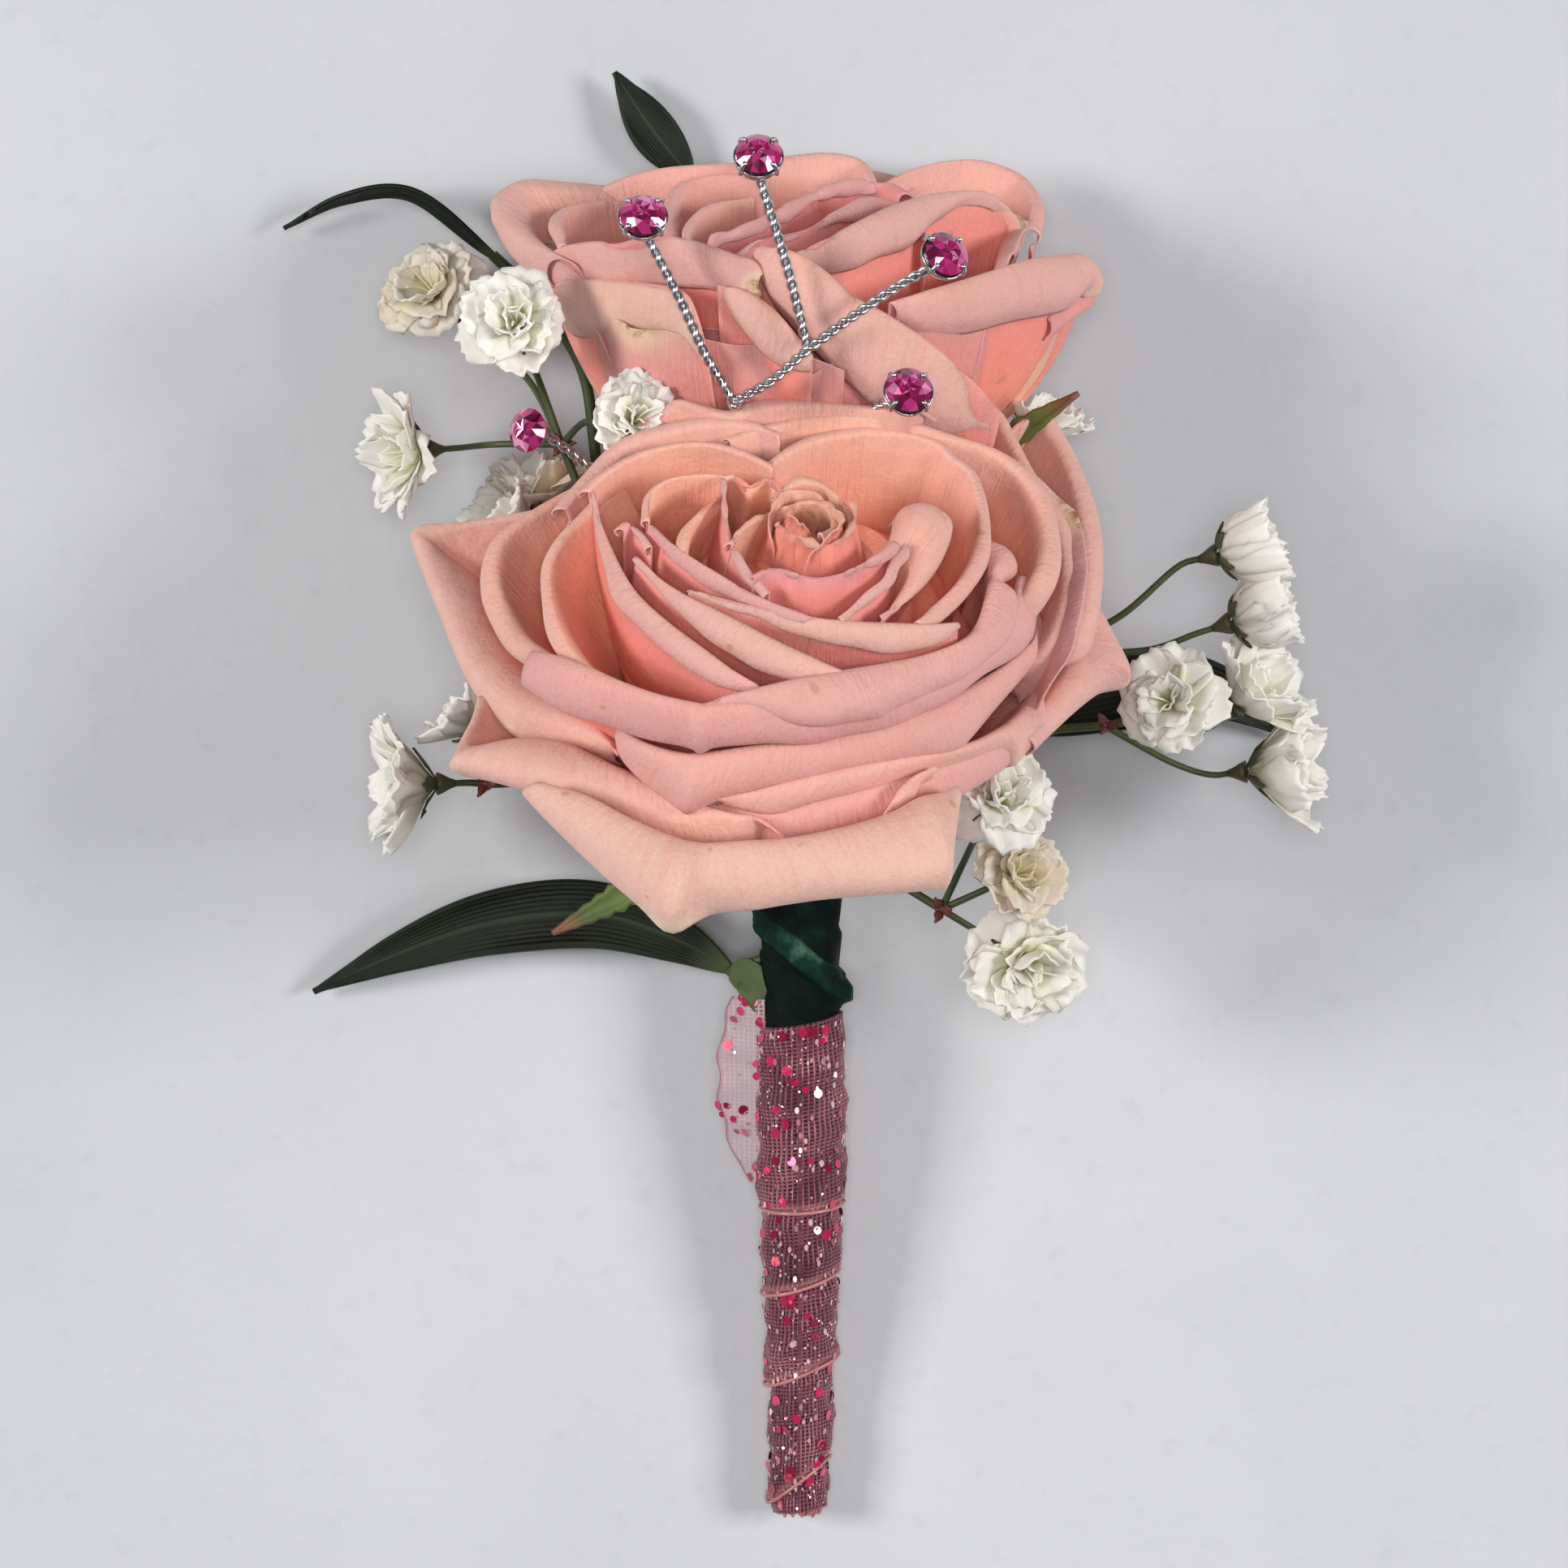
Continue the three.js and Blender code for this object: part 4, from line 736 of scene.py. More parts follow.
FRONT_MIDDLE = [
    dict(lean=12, curl=0.8, tone=0.2, corners=[4], marks=[
        (765, 893, 19.4, 757, 910, 18.8), (785, 915, 19.8, 768, 930, 18.2), (815, 928, 20, 795, 957, 17.8),
        (850, 935, 20.2, 830, 984, 17.4), (868, 934, 20.2, 846, 997, 17.2), (880, 932, 20.2, 856, 991, 17.4),
        (925, 924, 20.2, 905, 981, 17.6), (980, 914, 20, 985, 962, 17.6), (1040, 903, 19.8, 1055, 945, 17.6),
        (1100, 890, 19.6, 1125, 931, 17.2), (1150, 873, 19.2, 1172, 921, 16.6),
        (1185, 855, 18.9, 1195, 905, 16.6), (1225, 830, 18.5, 1235, 862, 16.6),
        (1260, 800, 18.2, 1275, 818, 16.8), (1272, 780, 18, 1283, 797, 17),
        (1275, 750, 18, 1284, 765, 17.2)]),
    dict(lean=10, curl=0.5, tone=0.05, corners=[6], marks=[
        (657, 806, 22, 645, 842, 20.4), (680, 812, 22.6, 662, 854, 20.6), (720, 826, 23.4, 705, 876, 21),
        (765, 845, 24, 762, 896, 21.2), (810, 860, 24.4, 818, 913, 21.3), (840, 867, 24.5, 850, 925, 21.3),
        (855, 870, 24.5, 862, 935, 21.2), (870, 872, 24.5, 875, 926, 21.4), (910, 868, 24.5, 925, 921, 21.5),
        (965, 858, 24.4, 985, 913, 21.4), (1025, 845, 24.2, 1040, 902, 21.2), (1080, 832, 24, 1095, 890, 21),
        (1135, 815, 23.6, 1150, 868, 20.8), (1185, 795, 23.2, 1200, 842, 20.4),
        (1225, 770, 22.8, 1245, 812, 20), (1245, 745, 22.4, 1270, 785, 19.8),
        (1255, 715, 22.2, 1275, 740, 20)]),
    dict(lean=5, curl=0.4, tone=0.15, marks=[
        (860, 868, 25, 868, 874, 24.6), (915, 856, 25.2, 930, 878, 24), (975, 843, 25.2, 990, 886, 23.6),
        (1030, 832, 25, 1060, 886, 23.2), (1060, 826, 25, 1082, 884, 23), (1090, 820, 24.8, 1098, 872, 23.2),
        (1140, 808, 24.6, 1150, 850, 23), (1185, 790, 24.4, 1200, 825, 22.8),
        (1205, 770, 24.3, 1235, 795, 22.6), (1215, 745, 24.2, 1248, 765, 22.8),
        (1220, 725, 24.2, 1250, 737, 23), (1222, 715, 24.2, 1232, 722, 23.6),
        (1222, 705, 24.2, 1252, 708, 23), (1218, 690, 24.2, 1246, 688, 23.2),
        (1205, 672, 24.4, 1215, 665, 24)]),
    dict(lean=26, lip=2, marks=[
        (1085, 520, 23), (1130, 502, 22.8), (1175, 499, 22.4), (1218, 512, 21.8), (1240, 545, 21.2),
        (1262, 590, 20.8), (1290, 640, 20.2), (1308, 690, 19.8), (1305, 750, 19.2), (1290, 790, 18),
        (1265, 825, 16), (1230, 850, 13.5)]),
    dict(lean=14, lip=1.4, tone=0.4, marks=[
        (740, 588, 23), (780, 545, 25.4), (820, 515, 27.8), (840, 500, 29), (865, 507, 29), (905, 519, 28.9),
        (930, 509, 29.3), (1020, 504, 29.6), (1090, 508, 29.4), (1116, 502, 30.2), (1140, 514, 28.6)]),
    dict(lean=20, lip=1.6, tone=0.6, painted_glow=0.1, marks=[
        (900, 546, 28.5), (945, 532, 28.8), (1000, 520, 29), (1060, 518, 28.9), (1110, 524, 28.3),
        (1165, 543, 27), (1215, 560, 25.6), (1250, 585, 24.4), (1275, 620, 23.6), (1285, 660, 23),
        (1280, 700, 22.8), (1262, 735, 22.3), (1235, 765, 20.5), (1200, 785, 18.5)]),
    dict(lean=20, lip=1.6, tone=0.5, marks=[
        (700, 630, 24), (735, 590, 24.9), (775, 557, 26.4), (830, 537, 27.8), (880, 528, 28.5),
        (925, 529, 28.9), (960, 540, 28.9)]),
    dict(lean=30, lip=1.6, tone=0.7, painted_glow=0.18, marks=[
        (760, 585, 22), (700, 615, 21.6), (655, 643, 21.2), (625, 666, 20.8), (614, 695, 20.4),
        (617, 727, 20), (632, 759, 19.6), (652, 790, 19.4), (685, 812, 19.4), (702, 822, 19.6)]),
    dict(lean=30, lip=1.4, tone=0.8, painted_glow=0.18, marks=[
        (770, 605, 24.4), (735, 634, 24), (700, 665, 23.6), (682, 698, 23), (684, 748, 22.6),
        (700, 790, 22.4), (725, 820, 22.4), (748, 834, 22.6)]),
]
FRONT_INNER = [
    dict(lean=14, lip=1.2, tone=0.6, painted_glow=0.12, marks=[
        (948, 578, 28.5), (975, 560, 28.5), (1010, 546, 28.3), (1070, 537, 28), (1125, 541, 27.5),
        (1155, 552, 27), (1168, 566, 26.8), (1190, 582, 26.4), (1203, 620, 26), (1205, 655, 25.8),
        (1198, 685, 25.6), (1178, 722, 25.6), (1150, 750, 25.8), (1128, 768, 26)]),
    dict(lean=6, lip=1.2, tone=0.6, painted_glow=0.15, marks=[
        (727, 608, 26.6), (750, 586, 27), (800, 560, 27.6), (860, 551, 28.2), (915, 563, 28.6),
        (952, 580, 28.8)]),
    dict(lean=-3, marks=[
        (733, 612, 26.5, 727, 606, 26.5), (742, 650, 26.4, 733, 655, 26), (757, 690, 26.2, 745, 697, 25.6),
        (782, 733, 26, 762, 742, 25.2), (820, 768, 25.8, 800, 786, 24.8), (868, 803, 25.6, 850, 826, 24.6),
        (910, 832, 25.2, 897, 846, 24.4), (945, 850, 24.6, 938, 853, 24.4)]),
    dict(lean=-5, marks=[
        (784, 687, 27, 781, 689, 26.9), (815, 716, 27, 810, 722, 26.6), (845, 738, 27, 838, 748, 26.4),
        (875, 752, 26.9, 862, 770, 26), (915, 772, 26.6, 895, 802, 25.2), (960, 795, 26.2, 935, 826, 24.8),
        (1005, 815, 25.8, 985, 840, 24.6), (1040, 829, 25.4, 1030, 840, 24.8)]),
    dict(lean=-5, marks=[
        (849, 727, 27.4, 846, 729, 27.3), (890, 738, 27.4, 884, 745, 27), (940, 750, 27.2, 934, 761, 26.6),
        (975, 758, 27, 972, 775, 26.2), (1015, 766, 26.8, 1015, 788, 25.8),
        (1065, 771, 26.6, 1068, 798, 25.4), (1115, 772, 26.4, 1120, 797, 25.2),
        (1155, 771, 26.2, 1162, 787, 25.4), (1180, 768, 26, 1183, 772, 25.8)]),
    dict(lean=-6, curl=0.2, marks=[
        (802, 645, 27.8, 799, 647, 27.7), (830, 672, 27.9, 822, 682, 27.3), (862, 695, 27.9, 852, 710, 27),
        (900, 718, 27.8, 890, 732, 26.9), (945, 740, 27.6, 935, 752, 26.9), (1000, 765, 27, 990, 768, 26.8)]),
    dict(lean=0, lip=0.6, marks=[(767, 655, 26.8), (776, 648, 26.9), (792, 656, 27), (804, 675, 27)]),
    dict(lean=0, lip=0.8, tone=0.6, painted_glow=0.2, marks=[
        (801, 643, 27.2), (803, 612, 27.4), (825, 594, 27.8), (860, 588, 28), (893, 590, 28.2)]),
    dict(lean=0, lip=0.7, tone=0.8, painted_glow=0.25, marks=[
        (842, 680, 27.8), (852, 650, 28), (870, 628, 28.2), (893, 611, 28.3)]),
    dict(lean=20, curl=0.3, tone=0.6, painted_glow=0.2, marks=[
        (1094, 672, 27.2, 1100, 648, 27.6), (1100, 682, 27, 1112, 632, 27.5),
        (1108, 692, 26.8, 1136, 628, 27.4), (1114, 700, 26.6, 1158, 638, 27.2),
        (1116, 710, 26.4, 1170, 652, 27), (1114, 722, 26.3, 1164, 684, 26.8),
        (1108, 734, 26.2, 1150, 712, 26.6), (1098, 746, 26.2, 1122, 742, 26.4),
        (1084, 760, 26.3, 1090, 764, 26.4)]),
    dict(lean=-5, lip=0.7, marks=[
        (1034, 762, 27), (1062, 736, 27.4), (1090, 712, 27.6), (1099, 690, 27.8), (1120, 668, 27.8)]),
    dict(lean=-8, curl=0.1, marks=[
        (893, 592, 28.5, 891, 591, 28.5), (894, 630, 28.6, 891, 633, 28.3), (902, 665, 28.6, 898, 670, 28.2),
        (920, 700, 28.4, 914, 706, 28), (948, 732, 27.8, 942, 737, 27.5)]),
    dict(lean=-8, curl=0.1, marks=[
        (928, 713, 28.6, 925, 714, 28.5), (945, 703, 28.9, 943, 706, 28.7), (962, 700, 29, 960, 704, 28.8),
        (985, 709, 29, 984, 713, 28.7), (1005, 713, 29, 1005, 717, 28.7), (1035, 708, 28.9, 1036, 712, 28.6),
        (1065, 694, 28.8, 1067, 698, 28.5), (1085, 684, 28.8, 1090, 687, 28.5),
        (1102, 671, 28.8, 1106, 672, 28.7)]),
    dict(lean=-5, lip=0.6, tone=0.9, painted_glow=0.25, marks=[
        (893, 591, 28.5), (906, 589, 28.7), (925, 601, 28.9), (947, 592, 29), (962, 604, 29.1),
        (966, 618, 29.1)]),
    dict(lean=-5, lip=0.6, tone=0.9, painted_glow=0.25, marks=[
        (955, 614, 29), (985, 597, 29.2), (1012, 600, 29.3), (1032, 616, 29.4), (1048, 634, 29.4)]),
    dict(lean=-8, lip=0.5, tone=0.9, painted_glow=0.25, marks=[
        (900, 672, 28.8), (920, 650, 29), (958, 630, 29.2), (1000, 620, 29.5), (1020, 628, 29.6),
        (1024, 650, 29.6), (1010, 661, 29.6)]),
    dict(lean=-10, curl=0.1, tone=0.8, painted_glow=0.3, marks=[
        (958, 645, 29.4, 956, 646, 29.3), (975, 655, 29.4, 973, 659, 29.2),
        (1000, 668, 29.4, 1000, 672, 29.2), (1015, 671, 29.4, 1016, 674, 29.2),
        (1038, 660, 29.5, 1040, 664, 29.3), (1050, 640, 29.6, 1053, 642, 29.4),
        (1048, 615, 29.6, 1051, 614, 29.5)]),
]
FRONT_BUD = [
    dict(at=-140, half=80, r=(4, 3.2, 3), h=(28.5, 29, 28.5), lean=-10, roll=30, bend=1, lip=(0.8, 1, 0.8),
         tanned=0, tone=0.9, painted_glow=0.4),
    dict(at=80, half=80, r=(3, 2.6, 2.2), h=(29, 29.6, 29), lean=-12, roll=20, bend=1, lip=(0.6, 1, 0.6),
         tanned=0, tone=0.9, painted_glow=0.45),
    dict(at=-60, half=90, r=(2, 1.6, 1.1), h=(29.4, 30, 29.4), lean=-12, roll=10, bend=1, lip=(0.5, 0.8, 0.5),
         tanned=0, tone=0.9, painted_glow=0.5),
]

# Steps of the crowded small petals between the larger ones, as [radius, height], and their turns
CROWDED = [(0.05, 25.8), (3.4, 25.4), (4, 24), (6, 23.6), (6.6, 22.4), (8.8, 21.8), (9.4, 20.4), (11.2, 19.6),
           (11.8, 18.2), (13.4, 17.4), (13.8, 16), (14.6, 14.6), (14.4, 12), (13.6, 8), (9, 2), (0.05, 2)]
CROWDED_DEPTH = 0.34

# Rear rose
REAR_LOW = [
    dict(at=-136, half=30, r=(15, 16, 15), h=(20, 20, 21), lean=30, roll=100, bend=2, lip=(3, 6, 2), rise=50,
         belly=0.8),
    dict(at=136, half=30, r=(15, 16, 15), h=(21, 20, 20), lean=30, roll=100, bend=2, lip=(2, 6, 3), rise=50,
         belly=0.8),
    dict(at=178, half=62, r=(14, 13, 14), h=(24.5, 26, 24.5), bend=2, lip=2.5, rise=30, belly=0.6),
    dict(at=100, half=42, r=(18, 17.5, 16), h=(23, 24, 24), lean=10, roll=90, bend=2, lip=(2, 3, 2), point=1,
         straight=0.8),
    dict(at=-100, half=42, r=(17, 20, 18), h=(22, 22, 21), lean=20, roll=100, bend=2, lip=2, straight=0.8),
    dict(at=0, half=70, r=(16, 16, 16), h=(21, 20, 20), lean=10, roll=60, bend=2, lip=1),
]
REAR_OUTER = [
    dict(at=-44, half=56, r=(20.6, 18.7, 18.4), h=(22.4, 21, 19), lean=8, roll=20, bend=2, lip=0.5, drop=0,
         spread=0.9, tone=0.6),
    dict(at=58, half=56, r=(17.8, 18.3, 22.2), h=(18.5, 21.8, 22), lean=8, roll=20, bend=2, lip=0.5, drop=0,
         spread=0.9, tone=0.2),
    dict(lean=30, curl=0.8, tone=0.5, tips=[5], corners=[5], marks=[
        (768, 243, 9, 766, 236, 8), (705, 239, 11, 703, 230, 9.5), (668, 238, 12.5, 646, 228, 11),
        (654, 244, 13.2, 624, 236, 12), (652, 268, 15, 604, 256, 13), (660, 290, 17, 603, 278, 14),
        (672, 306, 19.5, 616, 304, 16), (690, 320, 22, 640, 328, 18.5), (715, 332, 24.5, 672, 346, 21)]),
    dict(lean=15, curl=0.5, tone=0.3, tips=[8, 9], marks=[
        (664, 322, 20, 668, 342, 19), (700, 309, 23.5, 700, 348, 22), (742, 303, 26.5, 745, 350, 25.5),
        (762, 305, 28, 768, 350, 27), (790, 298, 29.5, 806, 348, 28.5), (830, 295, 31, 842, 349, 30.5),
        (876, 308, 32.3, 880, 352, 32), (908, 319, 33, 908, 356, 32.6), (928, 327, 33.2, 925, 357, 33),
        (934, 340, 33, 930, 352, 33)]),
    dict(lean=15, curl=1.4, tone=0.9, spread=0.9, tips=[2, 3, 4, 5, 6], marks=[
        (688, 352, 22.5, 694, 386, 21), (720, 348, 24.8, 722, 397, 23.4), (760, 349, 27.6, 758, 396, 26.6),
        (800, 353, 29.8, 792, 397, 29), (832, 358, 31.4, 822, 402, 30.4), (850, 368, 32.2, 838, 400, 31.6),
        (858, 386, 32.6, 846, 410, 32), (866, 410, 33, 856, 428, 32.6), (874, 440, 33, 868, 448, 32.8)]),
    dict(lean=15, curl=1.3, tone=0.3, spread=0.9, tips=[7], corners=[7], marks=[
        (1096, 376, 32.4, 1104, 386, 32), (1136, 366, 31, 1140, 394, 30.4), (1180, 354, 29, 1186, 388, 28.4),
        (1222, 341, 26.4, 1234, 378, 25.8), (1262, 328, 23.6, 1284, 366, 23),
        (1300, 321, 20.6, 1326, 354, 20), (1328, 318, 18, 1345, 342, 17.4),
        (1340, 326, 16.6, 1357, 352, 16), (1338, 345, 16, 1350, 364, 15.6),
        (1315, 372, 16.6, 1322, 386, 16), (1288, 396, 17.6, 1292, 408, 17)]),
    dict(lean=8, curl=1.6, tone=0.5, spread=0.9, marks=[
        (938, 303, 33, 926, 316, 33), (962, 309, 33.4, 938, 341, 33), (990, 322, 33.8, 964, 372, 33.4),
        (1018, 342, 34, 1000, 404, 33.6), (1050, 372, 33.8, 1040, 438, 33),
        (1092, 396, 32.8, 1080, 470, 31.8), (1150, 434, 30.8, 1130, 496, 29.6),
        (1204, 480, 28.4, 1185, 512, 27.6), (1232, 512, 26.8, 1222, 524, 26.4)]),
]
REAR_INNER = [
    dict(lean=8, curl=0.8, tips=[7], marks=[
        (972, 318, 32.6, 986, 332, 32.2), (1010, 300, 31.2, 1030, 326, 30.6),
        (1055, 278, 29, 1080, 314, 28.4), (1105, 256, 25.8, 1130, 290, 25.4),
        (1150, 242, 22.6, 1165, 258, 22.2), (1185, 238, 20, 1196, 243, 19.6),
        (1212, 244, 18.4, 1222, 246, 18), (1236, 266, 17.2, 1250, 268, 16.6),
        (1242, 288, 17, 1256, 290, 16.4), (1240, 315, 18, 1250, 318, 17.4)]),
    dict(lean=5, curl=0.5, marks=[
        (884, 352, 33.2, 886, 358, 33), (912, 360, 33.4, 905, 384, 33), (938, 376, 33.6, 932, 408, 33.2),
        (964, 400, 33.8, 960, 432, 33.2), (990, 430, 33.6, 986, 444, 33.4),
        (1000, 443, 33.4, 998, 448, 33.2)]),
    dict(lean=20, lip=1.8, marks=[
        (1060, 246, 12), (1096, 226, 10.5), (1150, 206, 8.5), (1205, 203, 7), (1250, 220, 7), (1268, 250, 9),
        (1262, 285, 12)]),
    dict(lean=10, lip=1.5, marks=[
        (925, 212, 12), (970, 203, 11), (1015, 197, 10.5), (1056, 203, 11), (1070, 226, 13)]),
    dict(lean=10, lip=1.5, marks=[
        (735, 246, 10), (765, 228, 9.5), (820, 213, 9.5), (880, 209, 10), (930, 210, 11)]),
    dict(lean=0, lip=1, marks=[
        (834, 300, 24), (832, 268, 21), (838, 242, 18.5), (852, 227, 17), (880, 219, 16), (912, 219, 15.5),
        (945, 228, 16)]),
    dict(lean=0, lip=1, marks=[
        (878, 292, 28), (930, 275, 26), (980, 250, 22.5), (1030, 230, 19), (1065, 226, 17.5),
        (1090, 232, 17.5), (1112, 246, 19)]),
    dict(lean=0, lip=0.8, marks=[
        (905, 320, 31), (935, 296, 29.5), (985, 285, 27.5), (1030, 262, 24), (1080, 250, 21.5),
        (1120, 262, 21.5), (1140, 290, 24)]),
    dict(lean=0, lip=0.8, marks=[
        (862, 312, 29), (850, 290, 26.5), (860, 268, 23.5), (890, 252, 20.5), (930, 246, 19)]),
    dict(lean=5, lip=1, marks=[
        (700, 300, 22), (690, 275, 18.5), (705, 258, 15), (750, 252, 12.5), (800, 250, 11.5),
        (850, 246, 11)]),
]


def crowded(name, node, rose, size, material):
    """The small petals that fill a rose between its large ones, as one rippled form."""
    turn, base = rose_matrix(**rose)
    pile = Pile(*PETAL_LAYERS)
    profile = spaced([(r * size, h) for r, h in CROWDED], 100)
    angle = circle(110)
    radius, height = profile[:, :1], profile[:, 1:]
    share = radius / radius.max()
    ripple = 1 + share * (0.03 * np.sin(5 * angle + 0.4 * height) + 0.02 * np.sin(9 * angle - 0.7 * height))
    sunk = height - share * (0.5 * np.sin(3 * angle + 0.5 * radius) + 0.5)
    local = np.stack([radius * ripple * np.cos(angle), radius * ripple * np.sin(angle), sunk], -1)
    pile.rings(local @ turn.T + base, along=CROWDED_DEPTH * share, across=angle / np.pi * 2, edge=5.0,
               tone=0.5, face=1.0)
    pile.piece(name, material, node)


def petals(name, node, rose, specs, seed, material, fine, amount, axial=False, press=False):
    """One piece that holds the petals of a list, turned or drawn.

    Their grids have "fine" times the usual rows and columns, and waves of a relative amount. A petal's
    "tone" goes from pink to pale, and "warm" is the share by which its colours move towards the foot's
    deep orange, a painted glow of light through the petal.
    """
    rng = np.random.default_rng(seed)
    turn, base = rose_matrix(**rose)
    pile = Pile(*PETAL_LAYERS)
    for spec in specs:
        shape = {key: value for key, value in spec.items() if key not in ("tone", "painted_glow")}
        if "marks" in spec:
            grid, layers = drawn_petal(rose, axial=axial, fine=fine, **shape)
        else:
            grid, layers = rose_petal(**shape, fine=fine)
        grid = waved(grid, layers, rng, amount)
        # Painted glow: shifting "along" towards the foot moves the petal's colours to the deep orange that
        # stands in for light glowing through it.
        layers["along"] = layers["along"] * (1 - spec.get("painted_glow", 0))
        thick = RIM_THICKNESS + RIM_GAIN * smooth(layers["edge"] / RIM_WIDTH)
        grid = grid @ turn.T + base
        if press:
            grid = pressed(grid)
        grid[..., 2] = np.maximum(grid[..., 2], thick / 2 + LOWEST)
        tone = rng.uniform(0.1, 0.7)
        pile.sheet(grid, thick, tone=spec.get("tone", tone), **layers)
    pile.piece(name, material, node)


def roses():
    material = petal_material()
    front, rear = "rose_front_bloom", "rose_rear_bloom"
    petals("rose_front_back_petals", front, FRONT, FRONT_BACK, 11, material, 1.1, 1.0, press=True)
    petals("rose_front_outer_petals", front, FRONT, FRONT_OUTER, 12, material, 1.1, 0.95, axial=True)
    petals("rose_front_middle_petals", front, FRONT, FRONT_MIDDLE, 13, material, 0.9, 0.8, axial=True)
    petals("rose_front_inner_petals", front, FRONT, FRONT_INNER, 14, material, 0.7, 0.5, axial=True)
    petals("rose_front_bud", front, FRONT, FRONT_BUD, 15, material, 0.8, 0.5)
    crowded("rose_front_crowded_petals", front, FRONT, 1.0, material)
    crowded("rose_rear_crowded_petals", rear, REAR, 0.86, material)
    petals("rose_rear_low_petals", rear, REAR, REAR_LOW, 16, material, 0.9, 0.9)
    petals("rose_rear_outer_petals", rear, REAR, REAR_OUTER, 17, material, 1.1, 0.95)
    petals("rose_rear_inner_petals", rear, REAR, REAR_INNER, 18, material, 0.8, 0.9)


# The handle's line

handle_line = spaced(HANDLE, 400)
handle_run = travelled(handle_line)
handle_length = handle_run[-1]
handle_forward = unit(np.gradient(handle_line, axis=0))
handle_side = -unit(np.cross(handle_forward, [0.0, 0.0, 1.0]))
handle_lift = np.cross(handle_forward, handle_side)


def in_handle(distance, right, high):
    """Points beside the handle's middle line at distances from its top."""
    distance, right, high = np.broadcast_arrays(distance, right, high)

    def follow(values):
        return np.stack([np.interp(distance, handle_run, values[:, k]) for k in range(3)], -1)

    beside = follow(handle_side) * right[..., None] + follow(handle_lift) * high[..., None]
    return follow(handle_line) + beside


def slot(angle):
    """The first points of a thin stem, inside the tape and at its top."""
    right, high = SLOT_RADIUS * math.sin(math.radians(angle)), SLOT_RADIUS * math.cos(math.radians(angle))
    return [in_handle(SLOT_DEPTH, right, high), in_handle(0, right, high)]


# Leaves, sepals and stems

def blade(points, width, rows, cols, fold=0.25, power=0.8, serrate=0.0, twist=(0, 0)):
    """Grid of a lance-shaped leaf along a line, folded up along its rib, and its layers.

    A lower power gives it blunter ends, and "serrate" is the depth of its teeth. Twist is the angle of
    its blade to the surface at its foot and its point.
    """
    line = spaced(points, rows)
    forward = unit(np.gradient(line, axis=0))
    side = unit(np.cross(forward, [0.0, 0.0, 1.0]))
    lift = np.cross(side, forward)
    t = np.linspace(0, 1, rows)
    turned = np.radians(twist[0] + (twist[1] - twist[0]) * t)[:, None]
    side, lift = side * np.cos(turned) + lift * np.sin(turned), lift * np.cos(turned) - side * np.sin(turned)
    half = np.maximum(0.12, width / 2 * np.sin(np.pi * t ** 0.8) ** power)
    if serrate:
        half = half * (1 + serrate * (np.mod(t * 16, 1) - 0.5) * np.sin(np.pi * t))
    u = np.linspace(-1, 1, cols)[:, None]
    across, up = (half * u)[..., None], (fold * half * u * u)[..., None]
    return line[None] + side[None] * across + lift[None] * up, {"across": u + 0 * t, "along": t + 0 * u}


# The hip below a rose as (radius, height), and its sepals, each an azimuth and (radius, height) points
HIP = [(0.05, -5), (0.95, -5), (1.3, -4.3), (2.1, -3.4), (2.8, -2.2), (3.0, -1.2), (2.9, -0.3), (0.05, 0)]
SEPAL_WIDTH = 3.3
FRONT_SEPALS = [
    (-66, [(2.2, -0.7), (7, -3), (13, -9.6), (20.7, -13.3)]),
    (-42, [(2.2, -0.7), (6, -4), (9, -8), (11.5, -11)]),
    (20, [(2.2, -0.7), (5, -2.2), (9, -5.5)]),
    (95, [(2.2, -0.7), (6, -1.6), (11, -3.5)]),
    (165, [(2.2, -0.7), (5, -1.6), (8, -3.2)]),
]
REAR_SEPALS = [
    (76, [(2.2, -0.8), (9, 0.6), (18.6, 9.3), (24, 13.4)]),
    (-95, [(2.2, -0.7), (6, 0), (10, 2.3)]),
    (-20, [(2.2, -0.7), (4.5, -1.5), (7.5, -2.5)]),
    (130, [(2.2, -0.7), (4.5, -1), (7, -1.2)]),
    (-150, [(2.2, -0.7), (4.5, -1), (7, -1.2)]),
]
FRONT_STEM = [
    (0.4, -4.2, 11.4), in_handle(0, 0, STEM_SPREAD), in_handle(13, 0, STEM_SPREAD), in_handle(20, 0, 0.7),
    in_handle(30, 0, 0), in_handle(handle_length - 6, 0, 0),
]
REAR_STEM = [(1.2, 10, 5.9), (1.5, 0, 5.4), in_handle(0, 0, -STEM_SPREAD), in_handle(14, 0, -STEM_SPREAD)]


def rose_green(name, rose, sepals, stem, material):
    """Calyx, sepals and stem of a rose."""
    turn, base = rose_matrix(**rose)
    pile = Pile("tip", "face")
    pile.lathe(HIP, 28, base, turn[:, 2], lobes=5, depth=0.05)
    for azimuth, profile in sepals:
        a = math.radians(azimuth)
        local = np.array([(r * math.cos(a), r * math.sin(a), h) for r, h in profile])
        grid, layers = blade(local @ turn.T + base, SEPAL_WIDTH, 34, 7, fold=0.4, serrate=0.7)
        pile.sheet(grid, 0.45, tip=smooth((layers["along"] - 0.84) / 0.16))
    ends = [base + turn[:, 2] * h for h in (-4, -7)]
    pile.tube(spaced([*ends, *stem], 70), STEM_RADIUS, 14)
    pile.piece(name, material, name)


def rose_greens():
    material = green_material("rose_green", "#3E5424", "#6E7F3C", "#8A4B3A", 0.5)
    rose_green("rose_front_calyx_stem", FRONT, FRONT_SEPALS, FRONT_STEM, material)
    rose_green("rose_rear_calyx_stem", REAR, REAR_SEPALS, REAR_STEM, material)


